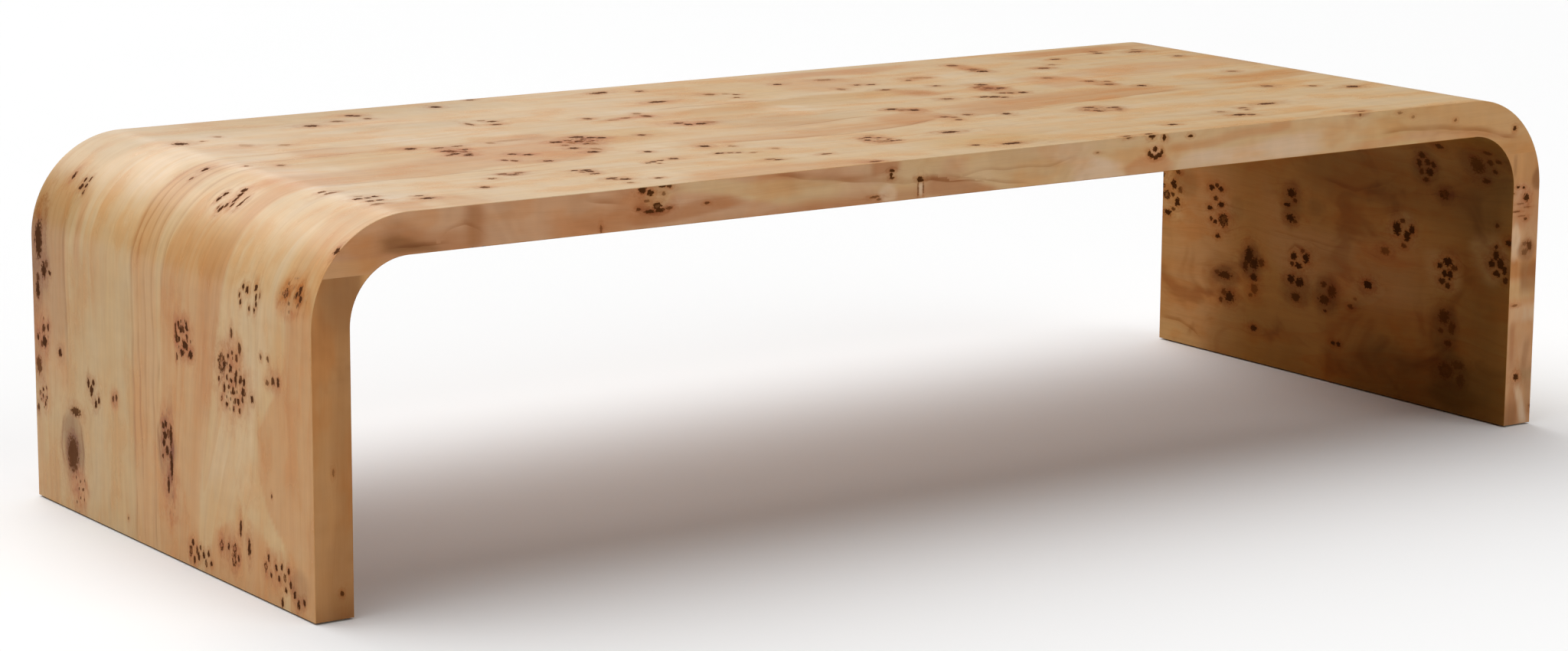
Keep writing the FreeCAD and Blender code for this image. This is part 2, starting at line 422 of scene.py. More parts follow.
def cluster_eyes(clusters, seed):
    """The eyes of each cluster: small, set apart from each other and longer along the grain."""
    draw = random.Random(seed)
    eyes = []
    for u, v, reach_u, reach_v, count in clusters:
        placed = []
        spacing = 0.75 * math.sqrt(math.pi * reach_u * reach_v / count)
        for _ in range(count * TRIES_PER_EYE):
            angle = draw.uniform(0, math.tau)
            share = math.sqrt(draw.random())
            spot = (u + reach_u * share * math.cos(angle), v + reach_v * share * math.sin(angle))
            if len(placed) < count and all(math.dist(spot, other) > spacing for other in placed):
                placed.append(spot)
        for spot_u, spot_v in placed:
            half_v = max(1.5, spacing * draw.uniform(0.2, 0.34))
            eyes.append(whole_eye(spot_u, spot_v, half_v * draw.uniform(1, 1.7), half_v,
                                  draw.uniform(0.8, 1), draw.choice((0, 0, 0.6))))
    return eyes


def whole_eye(u, v, half_u, half_v, dark, hollow=0, ring=None):
    """An eye with all its values. Its ring is half as strong as it is dark, unless one is given."""
    return u, v, half_u, half_v, dark, hollow, dark / 2 if ring is None else ring


class Figure:
    """All that marks the wood of one piece, in millimetres along and across the grain."""

    def __init__(self, base, bands=(), patches=(), flows=(), eyes=(), clusters=(), lines=(), seed=1):
        self.base = base
        self.bands = bands
        self.patches = list(patches)
        self.flows = flows
        self.lines = lines
        self.eyes = [whole_eye(*eye) for eye in eyes] + cluster_eyes(clusters, seed)
        self.clusters = clusters
        for u, v, reach_u, reach_v, _ in clusters:
            self.patches.append(("orange", 0.35, u, v, reach_u * 1.6, reach_v * 1.5))

    def burl(self, u, v):
        """How curly and stained the wood is at each place: most in the clusters, some round single eyes."""
        mask = np.zeros_like(u)
        for at_u, at_v, reach_u, reach_v, _ in self.clusters:
            distance = ((u - at_u) / (reach_u * 1.25 + 4)) ** 2 + ((v - at_v) / (reach_v * 1.15 + 3)) ** 2
            mask = np.maximum(mask, np.exp(-distance))
        for at_u, at_v, half_u, half_v, dark, *_ in self.eyes:
            distance = ((u - at_u) / (half_u * CURLY_LENGTHS)) ** 2
            distance += ((v - at_v) / (half_v * CURLY_WIDTHS)) ** 2
            mask = np.maximum(mask, CURLY_SHARE * dark * np.exp(-distance))
        for patch in self.patches:
            if patch[0] in ("orange", "pink"):
                mask = np.maximum(mask, patch_mask(u, v, patch))
        return mask


def paint_points(mesh, figure, u, v):
    """Stores the ground colour, with the sheen and shade that some bands and patches paint into it, and the
    grain level at each vertex.
    """
    palette = colours()
    ground = np.tile(np.array(getattr(palette, figure.base)), (len(u), 1))
    for band in figure.bands:
        tone = np.array(getattr(palette, band[0]))
        ground += (tone - ground) * band_mask(u, v, band)[:, None]
    for patch in figure.patches:
        tone = np.array(getattr(palette, patch[0]))
        ground += (tone - ground) * patch_mask(u, v, patch)[:, None]
    ground = np.column_stack([ground, np.ones(len(u))])
    store(mesh, "ground", "FLOAT_COLOR", "POINT", "color", ground)
    level = grain_level(u, v, figure.flows, figure.eyes)
    store(mesh, "level", "FLOAT", "POINT", "value", level * MM)
    store(mesh, "burl", "FLOAT", "POINT", "value", figure.burl(u, v))


def store(mesh, name, kind, domain, field, values):
    """Writes one array of values to a new attribute of the mesh."""
    attribute = mesh.attributes.new(name, kind, domain)
    attribute.data.foreach_set(field, np.ascontiguousarray(values, dtype=np.float32).ravel())


def mark_eyes(mesh, figure, u, v, corner_face, corner_vertex):
    """Gives each face its nearest eyes: every corner holds its offset in half-sizes and their look."""
    eyes = np.array(figure.eyes, float)
    corners_per_face = np.maximum(np.bincount(corner_face), 1)
    face_u = np.bincount(corner_face, u[corner_vertex]) / corners_per_face
    face_v = np.bincount(corner_face, v[corner_vertex]) / corners_per_face
    reach = np.hypot((face_u[:, None] - eyes[:, 0]) / eyes[:, 2], (face_v[:, None] - eyes[:, 1]) / eyes[:, 3])
    order = np.argsort(reach, axis=1)
    for place in range(EYES_PER_FACE):
        nearest = eyes[order[:, min(place, len(eyes) - 1)]][corner_face]
        along = (u[corner_vertex] - nearest[:, 0]) / nearest[:, 2]
        across = (v[corner_vertex] - nearest[:, 1]) / nearest[:, 3]
        offset = np.column_stack([along, across, np.zeros_like(along)])
        store(mesh, f"eye_{place}", "FLOAT_VECTOR", "CORNER", "vector", offset)
        store(mesh, f"look_{place}", "FLOAT_VECTOR", "CORNER", "vector", nearest[:, 4:7])


def mark_lines(mesh, figure, u, v, corner_face, corner_vertex):
    """Gives each face its nearest grain line: every corner holds its distance in widths and its strength."""
    corner_u, corner_v = u[corner_vertex], v[corner_vertex]
    distance = np.full(len(corner_u), FAR)
    strength = np.zeros(len(corner_u))
    corners_per_face = np.maximum(np.bincount(corner_face), 1)
    nearest = np.full(len(corners_per_face), FAR)
    for line_width, line_strength, points in figure.lines:
        along, across = (np.array(column, float) for column in zip(*points))
        wander = ripple(corner_u, corner_u * 0, 90, int(abs(across[0])) + 7) * 1.5
        gap = corner_v - np.interp(corner_u, along, across) - wander
        ends = step(corner_u, along[0], along[0] + LINE_FADE)
        ends *= step(-corner_u, -along[-1], -along[-1] + LINE_FADE)
        face_gap = np.abs(np.bincount(corner_face, gap) / corners_per_face) / line_width
        face_gap += FAR / 10 * (np.bincount(corner_face, ends) == 0)
        closer = face_gap < nearest
        nearest = np.where(closer, face_gap, nearest)
        mine = closer[corner_face]
        distance = np.where(mine, gap / line_width, distance)
        strength = np.where(mine, line_strength * ends, strength)
    columns = [distance, strength, np.zeros_like(strength)]
    store(mesh, "line", "FLOAT_VECTOR", "CORNER", "vector", np.column_stack(columns))


def draw_figure(piece, figure, places):
    """Lays out the grain UV map and stores the figure. places maps points to grain coordinates."""
    mesh = piece.data
    points = np.empty(len(mesh.vertices) * 3, np.float32)
    mesh.vertices.foreach_get("co", points)
    u, v = places(points.reshape(-1, 3).astype(float))
    corner_vertex = np.empty(len(mesh.loops), np.int32)
    mesh.loops.foreach_get("vertex_index", corner_vertex)
    counts = np.empty(len(mesh.polygons), np.int32)
    mesh.polygons.foreach_get("loop_total", counts)
    corner_face = np.repeat(np.arange(len(counts)), counts)
    layer = mesh.uv_layers.new(name="grain")
    layer.data.foreach_set("uv", np.column_stack([u, v])[corner_vertex].astype(np.float32).ravel())
    u, v = u / MM, v / MM
    paint_points(mesh, figure, u, v)
    mark_eyes(mesh, figure, u, v, corner_face, corner_vertex)
    mark_lines(mesh, figure, u, v, corner_face, corner_vertex)


# Shader graphs

class Graph:
    """A shader graph under construction, with short ways to add and join its nodes."""

    def __init__(self, tree):
        self.tree = tree

    def node(self, kind, *values, **settings):
        """Adds a node and fills its inputs in order: a socket is linked, and None leaves one as it is."""
        node = self.tree.nodes.new("ShaderNode" + kind)
        for setting, value in settings.items():
            setattr(node, setting, value)
        for socket, value in zip(node.inputs, values):
            self.fill(socket, value)
        return node

    def fill(self, socket, value):
        """Links a socket to an input, or sets the input's own value."""
        if isinstance(value, bpy.types.NodeSocket):
            self.tree.links.new(value, socket)
        elif value is not None:
            is_colour = socket.type == "RGBA" and len(value) == 3
            socket.default_value = (*value, 1) if is_colour else value

    def math(self, operation, *values, clamp=False):
        return self.node("Math", *values, operation=operation, use_clamp=clamp).outputs[0]

    def smooth(self, value, low, high, start=0.0, end=1.0):
        """A smooth step of a value from one number to another."""
        node = self.node("MapRange", value, low, high, start, end, interpolation_type="SMOOTHSTEP")
        return node.outputs[0]

    def mix(self, share, first, second, blend="MIX"):
        node = self.node("Mix", share, data_type="RGBA", blend_type=blend)
        self.fill(node.inputs[6], first)
        self.fill(node.inputs[7], second)
        return node.outputs[2]

    def place(self, along, across, scale_along, scale_across):
        """A flat texture coordinate, stretched along the grain."""
        return self.node(
            "CombineXYZ", self.math("MULTIPLY", along, scale_along),
            self.math("MULTIPLY", across, scale_across)).outputs[0]

    def noise(self, place, detail=2.0, rough=0.5, distortion=0.0, scale=1.0, dimensions="2D"):
        node = self.node("TexNoise", noise_dimensions=dimensions)
        for name, value in (("Vector", place), ("Scale", scale), ("Detail", detail),
                            ("Roughness", rough), ("Distortion", distortion)):
            self.fill(node.inputs[name], value)
        return node.outputs["Fac"]

    def attribute(self, name, output="Vector"):
        return self.node("Attribute", attribute_name=name).outputs[output]


def new_graph(name):
    """A new material and its empty graph."""
    material = bpy.data.materials.new(name)
    material.use_nodes = True
    material.node_tree.nodes.clear()
    return material, Graph(material.node_tree)


def finish_graph(graph, colour, roughness, normal=None, **constants):
    """Ends a graph in one shader. Constants go straight to the shader's own inputs."""
    shader = graph.node("BsdfPrincipled")
    graph.fill(shader.inputs["Base Color"], colour)
    graph.fill(shader.inputs["Roughness"], roughness)
    if normal is not None:
        graph.fill(shader.inputs["Normal"], normal)
    for name, value in constants.items():
        shader.inputs[name.replace("_", " ")].default_value = value
    output = graph.node("OutputMaterial")
    graph.tree.links.new(shader.outputs[0], output.inputs["Surface"])


def burl_eye():
    """The node group that draws one burl eye from its offset: its core, the stain round it and its ring."""
    if "Burl eye" in bpy.data.node_groups:
        return bpy.data.node_groups["Burl eye"]
    group = bpy.data.node_groups.new("Burl eye", "ShaderNodeTree")
    for name, kind in (("Offset", "Vector"), ("Look", "Vector"), ("Warp", "Float")):
        group.interface.new_socket(name, in_out="INPUT", socket_type="NodeSocket" + kind)
    for name in ("Core", "Stain", "Ring"):
        group.interface.new_socket(name, in_out="OUTPUT", socket_type="NodeSocketFloat")
    graph = Graph(group)
    given = group.nodes.new("NodeGroupInput")
    look = graph.node("SeparateXYZ", given.outputs["Look"])
    distance = graph.node("VectorMath", given.outputs["Offset"], operation="LENGTH").outputs["Value"]
    distance = graph.math("ADD", distance, given.outputs["Warp"])
    body = graph.smooth(distance, 1.1, 0.75)
    hollow = graph.math("MULTIPLY", graph.smooth(distance, 0.8, 0.3), look.outputs[1])
    core = graph.math("MULTIPLY", graph.math("SUBTRACT", body, hollow, clamp=True), look.outputs[0])
    near = graph.smooth(distance, 1.6, 0.9, 0, 0.5)
    strength = graph.math("MULTIPLY", look.outputs[0], 1.6, clamp=True)
    far = graph.smooth(distance, 3.4, 1.1, 0, 0.42)
    stain = graph.math("MULTIPLY", graph.math("ADD", near, far), strength)
    ring = graph.smooth(graph.math("ABSOLUTE", graph.math("SUBTRACT", distance, 2.0)), 0.35, 0.05)
    ring = graph.math("MULTIPLY", ring, look.outputs[2])
    given_back = group.nodes.new("NodeGroupOutput")
    for socket, value in zip(given_back.inputs, (core, stain, ring)):
        group.links.new(value, socket)
    return group


# What multiplies the ground colour where the wood is warmer, paler, stained, lined or smeared
WARMER = (0.95, 0.80, 0.64)
PALER = (1.04, 1.10, 1.22)
STAINED = (0.76, 0.47, 0.25)
LINED = (0.64, 0.47, 0.32)
SMEARED = (0.66, 0.54, 0.42)


def veneer_material(name, eye, streaks=1.0, gloss=0.26, specular=0.12, mottle=0.0, core_tone=1.0):
    """Lacquered burl veneer: the painted ground, fine figure along the grain, grain lines and eyes."""
    bark = tuple(core_tone * channel for channel in colours().bark)
    material, graph = new_graph(name)
    grain = graph.node("SeparateXYZ", graph.node("UVMap", uv_map="grain").outputs[0])
    along, across = grain.outputs[0], grain.outputs[1]
    burl = graph.attribute("burl", "Fac")
    level = graph.attribute("level", "Fac")
    wander = graph.math("SUBTRACT", graph.noise(graph.place(along, across, 4, 14), detail=2), 0.5)
    level = graph.math("MULTIPLY_ADD", wander, 0.012, level)
    swirl = graph.math("SUBTRACT", graph.noise(graph.place(along, across, 40, 55), detail=2), 0.5)
    swirled = graph.math("MULTIPLY_ADD", graph.math("MULTIPLY", swirl, burl), 0.016, level)

    broad = graph.noise(graph.place(along, swirled, 1.6, 26), detail=2, rough=0.55)
    medium = graph.noise(graph.place(along, swirled, 5, 170), detail=2, rough=0.6)
    fine = graph.noise(graph.place(along, level, 30, 1500), detail=1, rough=0.7)
    cloud = graph.noise(graph.place(along, across, 9, 20), detail=3, rough=0.6)
    shimmer = graph.noise(graph.place(along, across, 60, 24), detail=2, rough=0.5)
    contour = graph.noise(graph.place(along, swirled, 1.2, 20), detail=1)
    contour = graph.math("PINGPONG", graph.math("MULTIPLY", contour, 10), 1)
    growth = graph.smooth(contour, 0.12, 0.0)

    colour = graph.attribute("ground", "Color")
    colour = graph.mix(graph.smooth(broad, 0.5, 0.78, 0, 0.35 * streaks), colour, WARMER, "MULTIPLY")
    colour = graph.mix(graph.smooth(broad, 0.48, 0.2, 0, 0.3 * streaks), colour, PALER, "MULTIPLY")
    colour = graph.mix(graph.smooth(cloud, 0.48, 0.7, 0, 0.8), colour, WARMER, "MULTIPLY")
    colour = graph.mix(graph.smooth(cloud, 0.52, 0.3, 0, 0.6), colour, PALER, "MULTIPLY")
    blotch = graph.noise(graph.place(along, across, 70, 95), detail=3, rough=0.6)
    blotch = graph.math("MULTIPLY", graph.smooth(blotch, 0.46, 0.66), burl)
    colour = graph.mix(graph.math("MULTIPLY", blotch, 0.75), colour, STAINED, "MULTIPLY")
    sawn = graph.noise(graph.place(along, swirled, 1.5, 13), detail=1)
    sawn = graph.math("FRACT", graph.math("MULTIPLY", sawn, 6))
    sawn = graph.math("MULTIPLY", graph.smooth(sawn, 0.0, 0.04), graph.smooth(sawn, 0.8, 0.04))
    where = graph.noise(graph.place(along, across, 2.5, 9), detail=1)
    where = graph.smooth(where, 0.42, 0.6, 0, 0.5 * streaks)
    colour = graph.mix(graph.math("MULTIPLY", sawn, where), colour, WARMER, "MULTIPLY")
    if mottle:
        smear = graph.noise(graph.place(along, across, 9, 14), detail=3, rough=0.6, distortion=0.6)
        colour = graph.mix(graph.smooth(smear, 0.5, 0.72, 0, mottle), colour, SMEARED, "MULTIPLY")
    lined = graph.math("MULTIPLY", growth, graph.math("MULTIPLY_ADD", burl, 0.6, 0.10 * streaks))
    colour = graph.mix(lined, colour, LINED, "MULTIPLY")
    shade = graph.math("MULTIPLY_ADD", graph.math("SUBTRACT", medium, 0.5), 0.16 * streaks, 1.0)
    for texture, strength in ((fine, 0.14 * streaks), (shimmer, 0.10), (cloud, 0.10)):
        shade = graph.math("MULTIPLY_ADD", graph.math("SUBTRACT", texture, 0.5), strength, shade)
    shaded = graph.node("VectorMath", colour, operation="SCALE")
    graph.fill(shaded.inputs["Scale"], shade)
    colour = shaded.outputs[0]

    line = graph.node("SeparateXYZ", graph.attribute("line"))
    gap = graph.math("ADD", line.outputs[0], graph.math("MULTIPLY", graph.math("SUBTRACT", medium, 0.5), 1.2))
    sharp_side = graph.smooth(gap, -0.7, 0.0)
    soft_side = graph.smooth(gap, 4.0, 0.0)
    drawn = graph.math("MULTIPLY", graph.math("MULTIPLY", sharp_side, soft_side), line.outputs[1])
    broken = graph.smooth(graph.noise(graph.place(along, across, 12, 40), detail=1), 0.25, 0.55, 0.35, 1)
    colour = graph.mix(graph.math("MULTIPLY", drawn, broken), colour, LINED, "MULTIPLY")

    warp = graph.noise(graph.place(along, across, 240, 380), detail=2, rough=0.6)
    warp = graph.math("MULTIPLY", graph.math("SUBTRACT", warp, 0.5), 1.6)
    cores, stains, rings = [], [], []
    for place in range(EYES_PER_FACE):
        drawn_eye = graph.node("Group", node_tree=eye)
        for socket, value in zip(drawn_eye.inputs, (
                graph.attribute(f"eye_{place}"), graph.attribute(f"look_{place}"), warp)):
            graph.fill(socket, value)
        for found, output in zip((cores, stains, rings), drawn_eye.outputs):
            found.append(output)
    core, stain, ring = (
        graph.math("MAXIMUM", graph.math("MAXIMUM", found[0], found[1]), found[2])
        for found in (cores, stains, rings))
    pips = graph.node("TexVoronoi", voronoi_dimensions="2D")
    warped = graph.math("MULTIPLY_ADD", warp, 0.001, across)
    graph.fill(pips.inputs["Vector"], graph.place(along, warped, 110, 180))
    graph.fill(pips.inputs["Scale"], 1.0)
    chosen = graph.node("SeparateXYZ", pips.outputs["Color"]).outputs[0]
    pip = graph.smooth(pips.outputs["Distance"], 0.28, 0.16)
    pip = graph.math("MULTIPLY", pip, graph.smooth(chosen, 0.5, 0.6))
    pip = graph.math("MULTIPLY", pip, graph.smooth(burl, 0.5, 0.8, 0, 0.8))
    core = graph.math("MAXIMUM", core, pip)
    colour = graph.mix(graph.math("MULTIPLY", stain, 0.75), colour, STAINED, "MULTIPLY")
    colour = graph.mix(graph.math("MULTIPLY", ring, 0.4), colour, LINED, "MULTIPLY")
    colour = graph.mix(graph.math("MULTIPLY", core, 1.1, clamp=True), colour, bark)

    height = graph.math("MULTIPLY_ADD", core, -0.8, graph.math("MULTIPLY", fine, 0.5))
    bump = graph.node("Bump", 0.25, 0.00006)
    graph.fill(bump.inputs["Height"], height)
    roughness = graph.math("MULTIPLY_ADD", cloud, 0.12, gloss - 0.06)
    roughness = graph.math("MULTIPLY_ADD", core, 0.8, roughness, clamp=True)
    finish_graph(graph, colour, roughness, bump.outputs[0], Specular_IOR_Level=specular)
    return material


def raw_wood_material(name, pale, dark, along_scale, across_scale, rough):
    """Unfinished wood that follows Object coordinates, longer along X."""
    material, graph = new_graph(name)
    place = graph.node("SeparateXYZ", graph.node("TexCoord").outputs["Object"])
    across = graph.math("ADD", place.outputs[1], place.outputs[2])
    broad = graph.noise(graph.place(place.outputs[0], across, along_scale, across_scale), detail=3, rough=0.6)
    fine = graph.noise(graph.place(place.outputs[0], across, along_scale * 9, across_scale * 12), detail=2)
    colour = graph.mix(graph.smooth(broad, 0.3, 0.7), pale, dark)
    shaded = graph.node("VectorMath", colour, operation="SCALE")
    graph.fill(shaded.inputs["Scale"], graph.math("MULTIPLY_ADD", fine, 0.3, 0.85))
    bump = graph.node("Bump", 0.3, 0.0001)
    graph.fill(bump.inputs["Height"], fine)
    finish_graph(graph, shaded.outputs[0], rough, bump.outputs[0])
    return material


def felt_material():
    """Dense wool felt with short fibres."""
    material, graph = new_graph("Felt")
    place = graph.node("TexCoord").outputs["Object"]
    fibres = graph.noise(place, detail=4, rough=0.7, scale=1400, dimensions="3D")
    felt = tuple(colours().felt)
    lighter = tuple(2.2 * channel for channel in felt)
    colour = graph.mix(graph.smooth(fibres, 0.35, 0.75), felt, lighter)
    bump = graph.node("Bump", 0.6, 0.0003)
    graph.fill(bump.inputs["Height"], fibres)
    finish_graph(graph, colour, 0.95, bump.outputs[0], Sheen_Weight=0.4, Sheen_Roughness=0.5)
    return material


def floor_material():
    """A plain pale floor with the faintest unevenness."""
    material, graph = new_graph("Floor")
    place = graph.node("TexCoord").outputs["Object"]
    cloud = graph.noise(place, detail=3, scale=0.6, dimensions="3D")
    pale = tuple(colours().floor)
    dimmer = tuple(0.985 * channel for channel in pale)
    finish_graph(graph, graph.mix(cloud, pale, dimmer), 0.85)
    return material


# What the photo shows of the burl, in millimetres. On the outer leaves the first number is the
# distance along the profile from the middle of the top, to the right, and the second is the
# distance across the depth from the middle, to the back.

